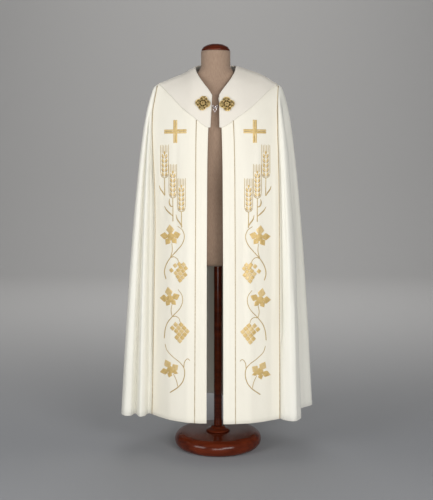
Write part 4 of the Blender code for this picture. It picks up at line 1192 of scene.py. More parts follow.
STROKE_END = 0.02       # share of a stroke over which each end rounds off
STROKE_TIP = 0.09       # the least of its width that an end keeps, squared
PETAL_BELLY = 0.05      # how far towards its tip a petal is widest, past the middle
PETAL_TIP = 0.02        # the least of its width and height that it keeps
PETAL_END = 0.10        # share of it over which each end comes down to the cloth
PETAL_PARTING = 0.13    # half-width of the parting down its middle, as a share of its own
STITCH_LEAN = 0.7       # how far its stitches slope from the parting
THREAD_SINKS = 0.0001   # how far all threads go into the cloth


class Needle:
    """Raised patches of thread worked on one front panel."""

    def __init__(self, side):
        self.side = side
        self.points = []
        self.heights = []
        self.uv = []
        self.faces = []
        self.tones = []
        self.count = 0

    def patch(self, places, heights, uv, tone):
        """A grid of (distance, height above the floor) places with their relief."""
        rows, columns = places.shape[:2]
        faces = grid_faces(rows, columns, self.count)
        row, column = rows // 2, columns // 2
        first = places[row, column - 1] - places[row, column]
        second = places[row - 1, column] - places[row, column]
        clockwise = first[0] * second[1] - first[1] * second[0] < 0
        # Quads run columns first, then rows, and a mirrored panel turns them over.
        if clockwise == (self.side == "left"):
            faces = faces[:, ::-1]
        self.points.append(places.reshape(-1, 2))
        self.heights.append(np.broadcast_to(heights, (rows, columns)).reshape(-1))
        self.uv.append(uv.reshape(-1, 2))
        self.faces.append(faces)
        self.tones += [tone] * len(faces)
        self.count += rows * columns

    def stroke(self, path, widths, high, tone, step=0.0024, across=7):
        """A rounded line of satin stitch along a path."""
        if len(path) > 2:
            line = smooth_path(path, step)
        else:
            reach = np.linalg.norm(np.subtract(path[1], path[0]))
            line = np.linspace(path[0], path[1], max(4, int(reach / step)))
        along = np.gradient(line, axis=0)
        along /= np.linalg.norm(along, axis=1, keepdims=True)
        aside = np.stack([-along[:, 1], along[:, 0]], axis=1)
        length = run_length(line)
        share = length / length[-1]
        width = np.interp(share, np.linspace(0, 1, len(widths)), widths)
        from_end = np.clip(np.minimum(share, 1 - share) / STROKE_END, 0, 1)
        ends = np.sqrt(np.clip(1 - (1 - from_end) ** 2, STROKE_TIP, 1))
        over = np.linspace(-1, 1, across)
        places = line[:, None] + aside[:, None] * (over[None, :] * (width * ends)[:, None] / 2)[..., None]
        round_over = np.sqrt(np.clip(1 - over * over, 0, 1))
        heights = high * round_over[None, :] * ends[:, None]
        uv = np.stack(np.broadcast_arrays(length[:, None], over[None, :] * width[:, None]), axis=-1)
        self.patch(places, heights, uv, tone)

    def petal(self, base, tip, width, square, high, tone, vein=0.25, rows=15, across=13):
        """A pointed or squarish pad from base to tip, with a parting down its middle."""
        base, tip = np.asarray(base, float), np.asarray(tip, float)
        along = tip - base
        long = np.linalg.norm(along)
        along /= long
        aside = np.array([-along[1], along[0]])
        up = np.linspace(0, 1, rows)
        over = np.linspace(-1, 1, across)
        belly = up - PETAL_BELLY * (1 - up)
        spread = np.clip(1 - np.abs(2 * belly - 1) ** square, PETAL_TIP, 1)
        half = width / 2 * spread
        places = (base + along * (up * long)[:, None, None]
                  + aside * (over[None, :] * half[:, None])[..., None])
        parting = 1 - vein * np.exp(-(over / PETAL_PARTING) ** 2)
        dome = np.sqrt(np.clip(1 - np.abs(over) ** 3, 0, 1)) * parting
        ends = np.sqrt(np.clip(np.minimum(up, 1 - up) / PETAL_END, PETAL_TIP, 1))
        heights = high * dome[None, :] * ends[:, None]
        lean = np.abs(over)[None, :] * half[:, None] * STITCH_LEAN
        uv = np.stack(np.broadcast_arrays((up * long)[:, None] - lean, over[None, :] * half[:, None]),
                      axis=-1)
        self.patch(places, heights, uv, tone)

    def build(self, name, finishes):
        flat = np.concatenate(self.points)
        middle, normal = on_front_with_normal(self.side, flat[:, 0], flat[:, 1])
        raised = middle + normal * (CLOTH / 2 - THREAD_SINKS + np.concatenate(self.heights))[:, None]
        return add_mesh(name, raised, np.concatenate(self.faces), finishes, np.concatenate(self.uv),
                        self.tones)


GOLD, PALE, BROWN, DEEP = 0, 1, 2, 3


ARMS = ((1, 0), (-1, 0), (0, 1), (0, -1))


def work_cross(needle, high):
    """Two rows of stitches to each arm, a square over their crossing and a brown line down each."""
    middle = np.array(CROSS["middle"])
    reach, bar = CROSS["reach"], CROSS["bar"]
    row = bar * 0.46
    for arm in np.array(ARMS):
        aside = np.array([-arm[1], arm[0]]) * bar * 0.25
        for half, tone in ((-1, GOLD), (1, PALE)):
            start = middle + arm * bar * 0.30 + aside * half
            end = middle + arm * reach + aside * half
            needle.stroke((start, end), (row, row), high, tone, 0.0016, 7)
    crossing = np.array([0.0, bar * 0.7])
    needle.petal(middle - crossing, middle + crossing, bar * 1.25, 1.0, high * 1.15, GOLD, 0.0, 9, 9)
    for arm in np.array(ARMS):
        line = (middle + arm * bar * 0.7, middle + arm * (reach - 0.001))
        needle.stroke(line, (0.0009, 0.0009), high * 0.95, BROWN, 0.004, 5)


EAR_AWNS = 6
EAR_PAIRS = 5               # pairs of grains
AWN_LENGTH = 0.040
EAR_FOOT = 0.006            # from the ear's foot to its first grains
AWN_NARROWS = 0.98          # an awn's lower end, as a share of the half-width


def work_ear(needle, row, high):
    """A wheat ear: its comb of awns, its case, its pairs of grains and its stem."""
    ear = dict(zip(EAR_NAMES, row))
    x, top, half = ear["out"], ear["top"], ear["half_width"]
    foot = top - ear["length"]
    awn_low = top - AWN_LENGTH
    # The awns stand up straight like a comb, and the outer two run down to the foot.
    for number, place in enumerate(np.linspace(-1, 1, EAR_AWNS)):
        low = foot + 0.018 if abs(place) == 1 else awn_low + 0.006 * abs(place)
        awn = ((x + place * half, top - 0.002 * (number % 2)), (x + place * half * AWN_NARROWS, low))
        needle.stroke(awn, (0.0026, 0.0032), high * 0.8, DEEP, 0.004, 5)
    for side in (-1, 1):
        case = ((x + side * half * AWN_NARROWS, foot + 0.019), (x + side * half * 0.72, foot + 0.007),
                (x + side * 0.001, foot))
        needle.stroke(case, (0.0032, 0.0034), high * 0.8, DEEP, 0.003, 5)
    grain = (awn_low - foot - EAR_FOOT) / EAR_PAIRS
    for pair in range(EAR_PAIRS):
        low = foot + EAR_FOOT + grain * pair
        for side in (-1, 1):
            base = (x + side * half * 0.10, low)
            tip = (x + side * half * 0.66, low + grain * 1.08)
            needle.petal(base, tip, grain * 0.46, 2.0, high * 1.25, PALE, 0.0, 9, 8)
            husk = ((x + side * half * 0.16, low - 0.0004), (x + side * half * 0.52, low + grain * 0.20),
                    (x + side * half * 0.74, low + grain * 0.64))
            needle.stroke(husk, (0.0012, 0.0030, 0.0010), high * 0.9, BROWN, 0.002, 5)
    needle.petal((x, awn_low - 0.004), (x, awn_low + 0.012), 0.0075, 2.2, high * 1.2, GOLD, 0.0, 9, 8)
    needle.petal((x, awn_low - 0.008), (x, awn_low - 0.002), 0.0038, 2.0, high * 1.0, BROWN, 0.0, 6, 6)
    stem = ((x, foot + 0.004), (x - 0.0006, (foot + ear["stem_end"]) / 2), (x - 0.0008, ear["stem_end"]))
    needle.stroke(stem, (0.0034, 0.0038, 0.0046), high * 0.9, DEEP)


PALE_LOBES_TO = 60          # lobes within this many degrees of straight up are the paler ones
LEAF_MIDDLE = 0.034         # the pad over the lobes' roots is as long as it is wide


def work_leaf(needle, leaf, high):
    """A pad for each lobe, one over their roots, and a fine rib down each."""
    middle = np.array(leaf["middle"])
    lobes = [dict(zip(LOBE_NAMES, row)) for row in leaf["lobes"]]
    for lobe in lobes:
        angle = math.radians(lobe["angle"])
        lobe["way"] = np.array([math.sin(angle), math.cos(angle)]) * lobe["reach"]
        tone = PALE if abs(lobe["angle"]) < PALE_LOBES_TO else GOLD
        needle.petal(middle + lobe["way"] * 0.10, middle + lobe["way"], lobe["width"] * 1.06,
                     1.12, high * 1.1, tone, 0.35, 17, 15)
    half = (0.0, LEAF_MIDDLE / 2)
    needle.petal(middle - half, middle + half, LEAF_MIDDLE, 2.0, high * 1.2, GOLD, 0.0, 9, 9)
    for lobe in lobes:
        rib = (middle, middle + lobe["way"] * 0.72)
        needle.stroke(rib, (0.0011, 0.0006), high * 1.32, DEEP, 0.004, 5)


def work_bunch(needle, bunch, high):
    """Square grapes set cornerwise on a slanting lattice, every third one pale."""
    down_in = math.radians(bunch["down_in"])
    down_out = math.radians(bunch["down_out"])
    first = np.array([-math.cos(down_in), -math.sin(down_in)])
    second = np.array([math.cos(down_out), -math.sin(down_out)])
    corner = (first + second) / np.linalg.norm(first + second) * bunch["grape"] * 0.70
    for number, (inwards, outwards) in enumerate(bunch["cells"]):
        middle = np.array(bunch["start"]) + (first * inwards + second * outwards) * bunch["pitch"]
        needle.petal(middle - corner, middle + corner, bunch["grape"] * 1.35, 1.15, high * 1.25,
                     GOLD if number % 3 else PALE, 0.12, 11, 11)


def build_embroidery(settings):
    high = settings.thread_height
    for side in SIDE_SIGN:
        needle = Needle(side)
        work_cross(needle, high)
        for row in EARS:
            work_ear(needle, row, high)
        for path in EAR_BLADES:
            needle.stroke(path, (0.0030, 0.0062, 0.0054, 0.0020), high, DEEP)
        for start, end, path in STEMS:
            needle.stroke(path, (start + STEM_FULLER, end + STEM_FULLER), high * 0.9, DEEP)
        for leaf in LEAVES:
            work_leaf(needle, leaf, high)
        for bunch in BUNCHES:
            work_bunch(needle, bunch, high)
        finishes = [finish_named(name) for name in ("gold thread", "pale gold thread", "brown thread",
                                                      "deep gold thread")]
        piece = needle.build("embroidery_" + side, finishes)
        finish_piece(piece, "gold_cord")


# ---- Clasp ---------------------------------------------------------------------------

class Seat:
    """A place on the front of the cope: its middle, two directions along it and one out of it."""

    def __init__(self, middle, along, across, out):
        self.middle, self.along, self.across, self.out = middle, along, across, out

    def at(self, angle, reach, height, squash=1.0):
        """The point this far from the middle and this far out."""
        return (self.middle + self.along * (reach * math.cos(angle))
                + self.across * (reach * squash * math.sin(angle)) + self.out * height)

    def toward(self, angle, reach=0.0, height=0.0):
        """A seat further along at an angle, whose along direction points that way."""
        along = self.along * math.cos(angle) + self.across * math.sin(angle)
        return Seat(self.middle + along * reach + self.out * height, along, self.out.cross(along), self.out)


def rosette_outline(angle):
    """The edge of the four lobes, as a share of the radius."""
    lobe = abs(math.cos(2 * angle))
    return ROSETTE_WAIST + (1 - ROSETTE_WAIST) * lobe ** ROSETTE_LOBE


def rosette_seat(side, reach=0.01):
    """Middle of a rosette's back, with across, up and out as its directions."""
    distance, height = ROSETTE_OFFSET, ROSETTE_Z[side]
    here, beside, above = on_front(side, np.array([distance, distance + reach, distance]),
                                   np.array([height, height, height + reach]), False)
    across = Vector(beside - here).normalized() * SIDE_SIGN[side]
    up = Vector(above - here).normalized()
    out = up.cross(across).normalized()
    if out.y > 0:
        out = -out
    up = across.cross(out).normalized()
    if up.z < 0:
        up = -up
    return Seat(Vector(here) + out * ROSETTE_LIFT, across, up, out)


def spun(seat, rings, sides, top, bottom, outline=None, squash=1.0):
    """Points and faces of a flat-backed shape on a seat; a ring is its reach and height."""
    points = [seat.middle + seat.out * top]
    for reach, height in rings:
        for step in range(sides):
            angle = 2 * math.pi * step / sides
            share = outline(angle) if outline else 1.0
            points.append(seat.at(angle, reach * share, height, squash))
    points.append(seat.middle + seat.out * bottom)
    faces = [face[::-1] for face in spun_faces(len(rings), sides)]
    return [tuple(point) for point in points], faces


def dome_cap(seat, long, wide, high, rings=5, sides=14, sinks=0.0002):
    """A low oval dome."""
    tilts = [math.pi / 2 * ring / rings for ring in range(1, rings + 1)]
    return spun(seat, [(long * math.sin(tilt), high * math.cos(tilt)) for tilt in tilts], sides,
                high, -sinks, squash=wide / long)


def wire_ring(seat, reach, wire, height=0.0, squash=1.0, turns=28, sides=7, outline=None):
    """A closed ring of wire round a seat."""
    path = []
    for step in range(turns):
        angle = 2 * math.pi * step / turns
        share = outline(angle) if outline else 1.0
        path.append(seat.at(angle, reach * share, height, squash))
    return tube(path, wire, sides, closed=True, up=seat.out)


def scroll_path(seat, reach, height, turn, way, steps=20, winds=1.35, closes=0.78):
    """A little curl that winds in towards its middle."""
    path = []
    for step in range(steps):
        share = step / (steps - 1)
        angle = turn + way * share * winds * 2 * math.pi
        path.append(seat.at(angle, reach * (1 - closes * share), height))
    return path


# A rosette, from its middle out. Shares are of its radius and other sizes are in metres.
PLATE_RINGS = ((0.40, 0.0022), (0.80, 0.0016), (0.95, 0.0010), (0.97, 0.0002))
PLATE_TOP = 0.0024
RIM = {"share": 0.955, "wire": 0.00135, "height": 0.0022, "turns": 96}
BEADS = {"share": 0.845, "height": 0.0026, "size": 0.0021, "count": 44}
LOBE_SHARE = 0.66
LOBE_RING = {"reach": 0.0066, "wire": 0.0010, "height": 0.0036}
LOBE_BOSS = {"long": 0.0036, "wide": 0.0036, "high": 0.0030}
LOBE_BOSS_HEIGHT = 0.0022
LOBE_PETALS = (-58, 0, 58)
LOBE_PETAL = {"long": 0.0026, "wide": 0.0020, "high": 0.0020, "rings": 4, "sides": 10}
LOBE_PETAL_AT = {"reach": 0.0078, "height": 0.0018}
CURL = {"share": 0.50, "aside": 0.0034, "reach": 0.0030, "height": 0.0034, "turn": 0.6, "wire": 0.0008}
CURL_BOSS = {"long": 0.0022, "wide": 0.0022, "high": 0.0022, "rings": 4, "sides": 10}
CURL_BOSS_AT = {"share": 0.63, "height": 0.0016}
FLOWER_PETALS = 8
FLOWER_PETAL = {"long": 0.0034, "wide": 0.0022, "high": 0.0026, "rings": 5, "sides": 12}
FLOWER_PETAL_AT = {"reach": 0.0072, "height": 0.0030}
FLOWER_RING = {"reach": 0.0036, "wire": 0.0010, "height": 0.0058, "turns": 24}
# The low dome of painted shade in the flower's hollow.
FLOWER_SHADE_DOME = {"long": 0.0030, "wide": 0.0030, "high": 0.0009, "rings": 4, "sides": 14}
FLOWER_SHADE_DOME_HEIGHT = 0.0052


def build_rosettes(settings):
    radius = settings.rosette_radius
    for side in SIDE_SIGN:
        level_seat = rosette_seat(side)
        turn = math.radians(ROSETTE_TURN[side])
        east = level_seat.along * math.cos(turn) + level_seat.across * math.sin(turn)
        north = level_seat.across * math.cos(turn) - level_seat.along * math.sin(turn)
        seat = Seat(level_seat.middle, east, north, level_seat.out)
        made = Parts()
        # A thin plate closes the openwork behind; its dark colour is painted shade.
        plate = [(radius * share, height) for share, height in PLATE_RINGS]
        made.add(*spun(seat, plate, RIM["turns"], PLATE_TOP, 0.0, rosette_outline), 1)
        made.add(*wire_ring(seat, radius * RIM["share"], RIM["wire"], RIM["height"], turns=RIM["turns"],
                            outline=rosette_outline))
        for quarter in range(4):
            add_lobe(made, seat.toward(quarter * math.pi / 2), radius)
            add_curls(made, seat.toward((quarter + 0.5) * math.pi / 2), radius)
        add_flower(made, seat)
        # The second finish is painted shade, on the plate and the flower's hollow.
        piece = made.build("rosette_metal_" + side,
                           [finish_named("antique gold"), finish_named("gold recess")])
        finish_piece(piece, "antique_gold", "rosette_" + side, "rosette_stud_" + side)
        build_rosette_beads(side, seat, radius)


def add_lobe(made, spoke, radius):
    """A raised ring round a boss, with three petals towards the rim."""
    lobe = spoke.toward(0.0, radius * LOBE_SHARE)
    made.add(*wire_ring(lobe, **LOBE_RING))
    made.add(*dome_cap(lobe.toward(0.0, height=LOBE_BOSS_HEIGHT), **LOBE_BOSS))
    for lean in LOBE_PETALS:
        made.add(*dome_cap(lobe.toward(math.radians(lean), **LOBE_PETAL_AT), **LOBE_PETAL))


def add_curls(made, spoke, radius):
    """Two curls that face each other between the lobes, and a boss beyond them."""
    for way in (-1, 1):
        curl = spoke.toward(0.0, radius * CURL["share"])
        curl.middle = curl.middle + curl.across * (way * CURL["aside"])
        path = scroll_path(curl, CURL["reach"], CURL["height"], way * CURL["turn"], -way)
        made.add(*tube(path, CURL["wire"], 6, up=curl.out))
    boss = spoke.toward(0.0, radius * CURL_BOSS_AT["share"], CURL_BOSS_AT["height"])
    made.add(*dome_cap(boss, **CURL_BOSS))


def add_flower(made, seat):
    """The flower in the middle, with a dark dome of painted shade in its hollow."""
    for number in range(FLOWER_PETALS):
        angle = 2 * math.pi * number / FLOWER_PETALS
        made.add(*dome_cap(seat.toward(angle, **FLOWER_PETAL_AT), **FLOWER_PETAL))
    made.add(*wire_ring(seat, **FLOWER_RING))
    # A low dark dome of painted shade fills the hollow.
    made.add(*dome_cap(seat.toward(0.0, height=FLOWER_SHADE_DOME_HEIGHT), **FLOWER_SHADE_DOME), 1)


def build_rosette_beads(side, seat, radius):
    """Small beads round the rim, placed by geometry nodes."""
    points = []
    count = BEADS["count"]
    for step in range(count):
        angle = 2 * math.pi * step / count
        points.append(seat.at(angle, radius * BEADS["share"] * rosette_outline(angle), BEADS["height"]))
    piece = set_repeats("rosette_beads_" + side, points, [seat.along] * count, [seat.out] * count,
                        (BEADS["size"],) * 3, finish_named("antique gold"), 8, 6)
    finish_piece(piece, "antique_gold")


# The chain: half a link's length, how narrow a link is, and the ring and drop in metres.
LINK_LENGTH = 0.0040
LINK_NARROWS = 0.86
LINKS_EACH_SIDE = 3
EYE_GAP = 0.0006            # from a rosette's edge to its first link
RING_RADIUS = 0.0062
RING_WIRE = 0.0009
DROP_RADIUS = 0.0030
DROP_RINGS = 10
DROP_SIDES = 16


def build_chain(settings):
    """Six links, the ring that they hang in and the drop below it."""
    wire = settings.link_wire
    made = Parts()
    eyes = {}
    for side, sign in SIDE_SIGN.items():
        seat = rosette_seat(side)
        reach = settings.rosette_radius + LINK_LENGTH + EYE_GAP
        eyes[side] = seat.middle - seat.along * (sign * reach) + seat.out * CHAIN_FORWARD
    ring_at = Vector((OPENING_X, min(eye.y for eye in eyes.values()), eyes["left"].z - RING_BELOW))
    for side in SIDE_SIGN:
        direction = (ring_at - eyes[side]).normalized()
        reach = RING_RADIUS - RING_WIRE - 2 * LINK_GAP - wire
        last = ring_at - direction * (reach + LINK_LENGTH)
        flat = direction.cross(Vector((0.0, 1.0, 0.0))).normalized()
        deep = direction.cross(flat).normalized()
        spacing = 2 * (LINK_LENGTH - wire) - LINK_GAP
        for behind in range(LINKS_EACH_SIDE):
            aside = flat if behind % 2 else deep
            link = Seat(last - direction * (behind * spacing), direction, aside, direction.cross(aside))
            made.add(*wire_ring(link, LINK_LENGTH, wire, squash=LINK_NARROWS, sides=8))
    ring = Seat(ring_at, Vector((1.0, 0.0, 0.0)), Vector((0.0, 0.0, 1.0)), Vector((0.0, -1.0, 0.0)))
    made.add(*wire_ring(ring, RING_RADIUS, RING_WIRE, turns=40, sides=8))
    under = ring_at - Vector((0.0, 0.0, RING_RADIUS + RING_WIRE + DROP_RADIUS + LINK_GAP))
    drop = [(math.sin(tilt) * DROP_RADIUS, -math.cos(tilt) * DROP_RADIUS)
            for tilt in np.linspace(0, math.pi, DROP_RINGS + 1)]
    made.add(*turned(drop, DROP_SIDES, under))
    piece = made.build("clasp_chain", [finish_named("pewter")])
    links = [f"chain_{side}_{number + 1}" for side in SIDE_SIGN for number in range(LINKS_EACH_SIDE)]
    finish_piece(piece, "silver", *links, "clasp_ring", "clasp_drop")


# ---- Dress form ----------------------------------------------------------------------

# Rows of points down the torso: each stretch's heights and how many rows it has.
TORSO_STRETCHES = ((0.790, 0.830, 13), (0.830, 1.500, 69), (1.500, 1.640, 33), (1.640, 1.700, 9))
TORSO_SIDES = 120
TORSO_SEAMS = (-90, 90, 0, 180, -62, -118, 62, 118)     # degrees round it
SEAM_SPREAD = 1.6           # degrees
SEAM_SINKS = 0.006          # share of the torso's own half-width


def build_torso():
    """The limbless linen body, with its panels' seams as fine grooves."""
    heights = np.concatenate([np.linspace(low, high, rows, endpoint=False)
                              for low, high, rows in TORSO_STRETCHES] + [[TORSO_STRETCHES[-1][1]]])
    form = {name: smooth_table([row[0] for row in FORM], [row[at] for row in FORM], heights)[:, None]
            for at, name in enumerate(FORM_NAMES)}
    angle = np.arange(TORSO_SIDES) * 2 * math.pi / TORSO_SIDES
    power = 2 / form["roundness"]
    x = form["half_width"] * np.sign(np.cos(angle)) * np.abs(np.cos(angle)) ** power
    y = form["half_depth"] * np.sign(np.sin(angle)) * np.abs(np.sin(angle)) ** power - form["forward"]
    groove = np.zeros(TORSO_SIDES)
    for seam in TORSO_SEAMS:
        away = (np.degrees(angle) - seam + 180) % 360 - 180
        groove = np.maximum(groove, np.exp(-(away / SEAM_SPREAD) ** 2))
    inwards = 1 - SEAM_SINKS * groove
    z = np.broadcast_to(heights[:, None], x.shape)
    grid = np.stack([NECK_X + x * inwards, y * inwards, z], axis=-1)
    points = np.concatenate([[[NECK_X, 0, heights[0]]], grid.reshape(-1, 3), [[NECK_X, 0, heights[-1]]]])
    piece = add_mesh("linen_body", points, spun_faces(len(heights), TORSO_SIDES), [finish_named("linen")])
    finish_piece(piece, "form_linen", "form_torso")


# Turned wood, as radius and height: the corners of each part and how far they are rounded.
TURNED_NAMES = ("piece", "node", "bend", "sides", "corners")
TURNED_PARTS = (
    ("neck_cap", "form_neck_cap", 0.002, 96,
     ((0.0, 1.7004), (0.0575, 1.7004), (0.0605, 1.7030), (0.0600, 1.7080),
      (0.0530, 1.7180), (0.0380, 1.7270), (0.0190, 1.7315), (0.0, 1.7325))),
    ("pole", "form_pole", 0.0008, 48,
     ((0.0, 0.0888), (POLE_RADIUS, 0.0888), (POLE_RADIUS, 0.7896), (0.0, 0.7896))),
    ("pole_socket", "form_pole_socket", 0.0016, 72,
     ((0.0, 0.0654), (0.050, 0.0654), (0.052, 0.0690), (0.046, 0.0740),
      (0.034, 0.0770), (0.030, 0.0830), (0.027, 0.0884), (0.0, 0.0884))),
)

# The foot: its flat underside, its rim's half round and its top.
FOOT_UNDER = 0.150
FOOT_RIM = {"middle": 0.155, "radius": 0.032, "rows": 30}
FOOT_TOP = ((0.143, 0.0640), (0.056, 0.0650), (0.0, 0.0650))
FOOT_SIDES = 128


def build_stand():
    """The turned wood: neck cap, pole, its socket and the round foot."""
    wood = finish_named("polished mahogany")
    for row in TURNED_PARTS:
        part = dict(zip(TURNED_NAMES, row))
        middle = NECK_X if part["piece"] == "neck_cap" else 0.0
        profile = rounded_profile(part["corners"], part["bend"])
        piece = lathe(part["piece"], profile, part["sides"], middle, wood)
        finish_piece(piece, "mahogany", part["node"])
    rim = [(0.0, 0.0), (FOOT_UNDER, 0.0)]
    for angle in np.linspace(-0.5, 0.5, FOOT_RIM["rows"] + 1)[1:-1] * math.pi:
        rim.append((FOOT_RIM["middle"] + FOOT_RIM["radius"] * math.cos(angle),
                    FOOT_RIM["radius"] * (1 + math.sin(angle))))
    rim += FOOT_TOP
    finish_piece(lathe("foot", rim, FOOT_SIDES, 0.0, wood), "mahogany", "form_foot")


# ---- Stage ---------------------------------------------------------------------------

FLOOR_FRONT = -16.0
FLOOR_SIDE = 16.0
WALL_FOOT = 5.6             # where the floor begins to curve up
WALL_BEND = 3.4             # radius of that curve
WALL_TOP = 16.0

MIDDLE = Vector((-0.0065, 0.0, 0.9))
WALL = Vector((0.0, 9.0, 2.6))
WHITE = (1.0, 1.0, 1.0)
WARM = (1.0, 0.955, 0.88)

# Soft lights: where each stands, what it points at, its size, its colour and whether it glints.
LIGHT_NAMES = ("name", "power", "place", "target", "width", "height", "colour", "glints")
LIGHTS = (
    ("Key", "key_light", (-2.9, -2.5, 1.60), MIDDLE, 2.0, 1.4, WHITE, True),
    ("Fill", "fill_light", (1.8, -3.7, 1.80), MIDDLE, 2.0, 1.4, WHITE, True),
    ("Front", "front_light", (0.0, -5.4, 1.10), MIDDLE, 2.6, 1.6, WHITE, True),
    ("Back", "back_light", (0.0, 4.0, 5.0), MIDDLE, 3.0, 3.0, WHITE, False),
    ("Backdrop", "wall_light", (0.0, 2.6, 5.6), WALL, 4.0, 4.0, WARM, True),
)
ROOM_COLOUR = (0.92, 0.95, 1.0, 1.0)

EYE = Vector((-0.0065, -3.823, 1.239))
AIM = Vector((-0.0065, 0.0, 1.066))
LENS_SHIFT = -0.1


def facing(place, target):
    """The turn that points a light or camera from a place at a target."""
    return (target - Vector(place)).to_track_quat("-Z", "Y").to_euler()


def build_backdrop(colour):
    profile = [(FLOOR_FRONT, 0.0), (WALL_FOOT, 0.0)]
    for angle in np.linspace(0, math.pi / 2, 25)[1:]:
        profile.append((WALL_FOOT + WALL_BEND * math.sin(angle), WALL_BEND * (1 - math.cos(angle))))
    profile.append((WALL_FOOT + WALL_BEND, WALL_TOP))
    points = [(x, y, z) for y, z in profile for x in (-FLOOR_SIDE, FLOOR_SIDE)]
    faces = [(2 * i, 2 * i + 1, 2 * i + 3, 2 * i + 2) for i in range(len(profile) - 1)]
    add_mesh("backdrop", points, faces, [Finish("backdrop paper", colour, 0.9).made])


def build_lights(settings):
    for row in LIGHTS:
        light = dict(zip(LIGHT_NAMES, row))
        lamp = bpy.data.lights.new(light["name"], "AREA")
        lamp.shape = "RECTANGLE"
        lamp.size = light["width"]
        lamp.size_y = light["height"]
        lamp.energy = getattr(settings, light["power"])
        lamp.color = light["colour"]
        made = bpy.data.objects.new(light["name"], lamp)
        made.visible_glossy = light["glints"]
        made.location = light["place"]
        made.rotation_euler = facing(light["place"], light["target"])
        bpy.context.scene.collection.objects.link(made)
    world = bpy.data.worlds.new("Studio")
    world.use_nodes = True
    room = world.node_tree.nodes["Background"]
    room.inputs["Color"].default_value = ROOM_COLOUR
    room.inputs["Strength"].default_value = settings.room_light
    bpy.context.scene.world = world


def build_camera(settings):
    lens = bpy.data.cameras.new("Camera")
    lens.sensor_width = 36.0
    lens.lens = settings.lens
    lens.shift_y = LENS_SHIFT
    camera = bpy.data.objects.new("Camera", lens)
    camera.location = EYE
    camera.rotation_euler = facing(EYE, AIM)
    bpy.context.scene.collection.objects.link(camera)
    bpy.context.scene.camera = camera


def build_stage(settings):
    """A pale floor that curves up into a backdrop, soft studio lights and the camera."""
    build_backdrop(tuple(settings.backdrop))
    build_lights(settings)
    build_camera(settings)
    bpy.context.scene.view_settings.view_transform = "Standard"


# ---- Add-on --------------------------------------------------------------------------

class CopeSettings(bpy.types.PropertyGroup):
    columns_per_fold: IntProperty(name="Columns per fold", min=3, max=16, default=12,
                                  description="Columns of cloth between two rows of the fold table")
    cloth_rows: IntProperty(name="Cloth rows", min=20, max=160, default=110,
                            description="Rows down the side and back cloth")
    collar_thickness: FloatProperty(name="Collar thickness", default=0.0020, unit="LENGTH",
                                    description="Thickness of the collar with its interlining")
    cord_strand: FloatProperty(name="Cord strand", default=0.00085, unit="LENGTH",
                               description="Radius of one strand of the gold cords")
    thread_height: FloatProperty(name="Thread height", default=0.0010, unit="LENGTH",
                                 description="How far the embroidery stands off the panel")
    rosette_radius: FloatProperty(name="Rosette radius", default=0.0325, unit="LENGTH",
                                  description="Half the width of a clasp rosette")
    link_wire: FloatProperty(name="Link wire", default=0.00105, unit="LENGTH",
                             description="Radius of the chain links' wire")
    backdrop: FloatVectorProperty(name="Backdrop", subtype="COLOR", default=(0.345, 0.35, 0.362),
                                  description="Colour of the floor and backdrop")
    key_light: FloatProperty(name="Key light", default=54.0, unit="POWER",
                             description="Power of the light on the viewer's left")
    fill_light: FloatProperty(name="Fill light", default=80.0, unit="POWER",
                              description="Power of the light on the viewer's right")
    front_light: FloatProperty(name="Front light", default=93.0, unit="POWER",
                               description="Power of the light behind the camera")
    back_light: FloatProperty(name="Back light", default=56.0, unit="POWER",
                              description="Power of the light high up behind the garment")
    wall_light: FloatProperty(name="Backdrop light", default=395.0, unit="POWER",
                              description="Power of the light on the backdrop")
    room_light: FloatProperty(name="Room light", default=0.15, min=0.0,
                              description="Strength of the even light from all round")
    lens: FloatProperty(name="Lens", default=64.1, description="The camera's focal length, in millimetres")


def built(operator, work, *arguments):
    """Run one builder for an operator; any fault stops the script with its own message."""
    work(*arguments)
    operator.report({"INFO"}, operator.bl_label + " done")
    return {"FINISHED"}


class COPE_OT_side_cloth(bpy.types.Operator):
    """Hang the two side and back halves"""
    bl_idname = "cope.side_cloth"
    bl_label = "Side cloth"

    def execute(self, context):
        return built(self, build_side_cloth, context.scene.cope)


class COPE_OT_front_panels(bpy.types.Operator):
    """Hang the embroidered panels and the plain strips along the front edges"""
    bl_idname = "cope.front_panels"
    bl_label = "Front panels"

    def execute(self, context):
        return built(self, build_front_panels, context.scene.cope)


class COPE_OT_collar(bpy.types.Operator):
    """Lay the collar over the shoulders, with the edge stitches"""
    bl_idname = "cope.collar"
    bl_label = "Collar and stitches"

    def execute(self, context):
        def work(settings):
            build_edge_stitches(build_collar(settings))
        return built(self, work, context.scene.cope)


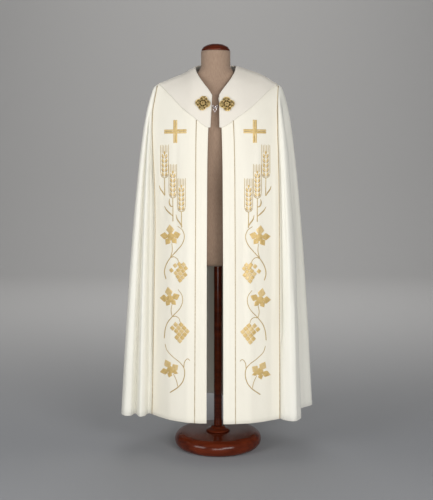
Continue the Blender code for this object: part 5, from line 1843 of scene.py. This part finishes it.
class COPE_OT_cords(bpy.types.Operator):
    """Twist the four gold cords down the seams"""
    bl_idname = "cope.cords"
    bl_label = "Gold cords"

    def execute(self, context):
        return built(self, build_cords, context.scene.cope)


class COPE_OT_embroidery(bpy.types.Operator):
    """Work the cross, wheat, vine leaves and grapes on both panels"""
    bl_idname = "cope.embroidery"
    bl_label = "Embroidery"

    def execute(self, context):
        return built(self, build_embroidery, context.scene.cope)


class COPE_OT_clasp(bpy.types.Operator):
    """Set the two rosettes and the chain between them"""
    bl_idname = "cope.clasp"
    bl_label = "Clasp"

    def execute(self, context):
        def work(settings):
            build_rosettes(settings)
            build_chain(settings)
        return built(self, work, context.scene.cope)


class COPE_OT_dress_form(bpy.types.Operator):
    """Build the linen body and its turned wooden stand"""
    bl_idname = "cope.dress_form"
    bl_label = "Dress form"

    def execute(self, context):
        def work():
            build_torso()
            build_stand()
        return built(self, work)


class COPE_OT_stage(bpy.types.Operator):
    """Put in the floor, the lights and the camera"""
    bl_idname = "cope.stage"
    bl_label = "Stage"

    def execute(self, context):
        return built(self, build_stage, context.scene.cope)


OPERATORS = (COPE_OT_side_cloth, COPE_OT_front_panels, COPE_OT_collar, COPE_OT_cords,
             COPE_OT_embroidery, COPE_OT_clasp, COPE_OT_dress_form, COPE_OT_stage)


class COPE_PT_panel(bpy.types.Panel):
    bl_label = "Cope vestment"
    bl_idname = "COPE_PT_panel"
    bl_space_type = "VIEW_3D"
    bl_region_type = "UI"
    bl_category = "Cope"

    def draw(self, context):
        settings = context.scene.cope
        for name in CopeSettings.__annotations__:
            self.layout.prop(settings, name)
        for operator in OPERATORS:
            self.layout.operator(operator.bl_idname)


CLASSES = (CopeSettings, *OPERATORS, COPE_PT_panel)


def register():
    for made in CLASSES:
        bpy.utils.register_class(made)
    bpy.types.Scene.cope = PointerProperty(type=CopeSettings)


def unregister():
    del bpy.types.Scene.cope
    for made in reversed(CLASSES):
        bpy.utils.unregister_class(made)


def main():
    register()
    for operator in OPERATORS:
        group, name = operator.bl_idname.split(".")
        getattr(getattr(bpy.ops, group), name)()


if __name__ == "__main__":
    main()
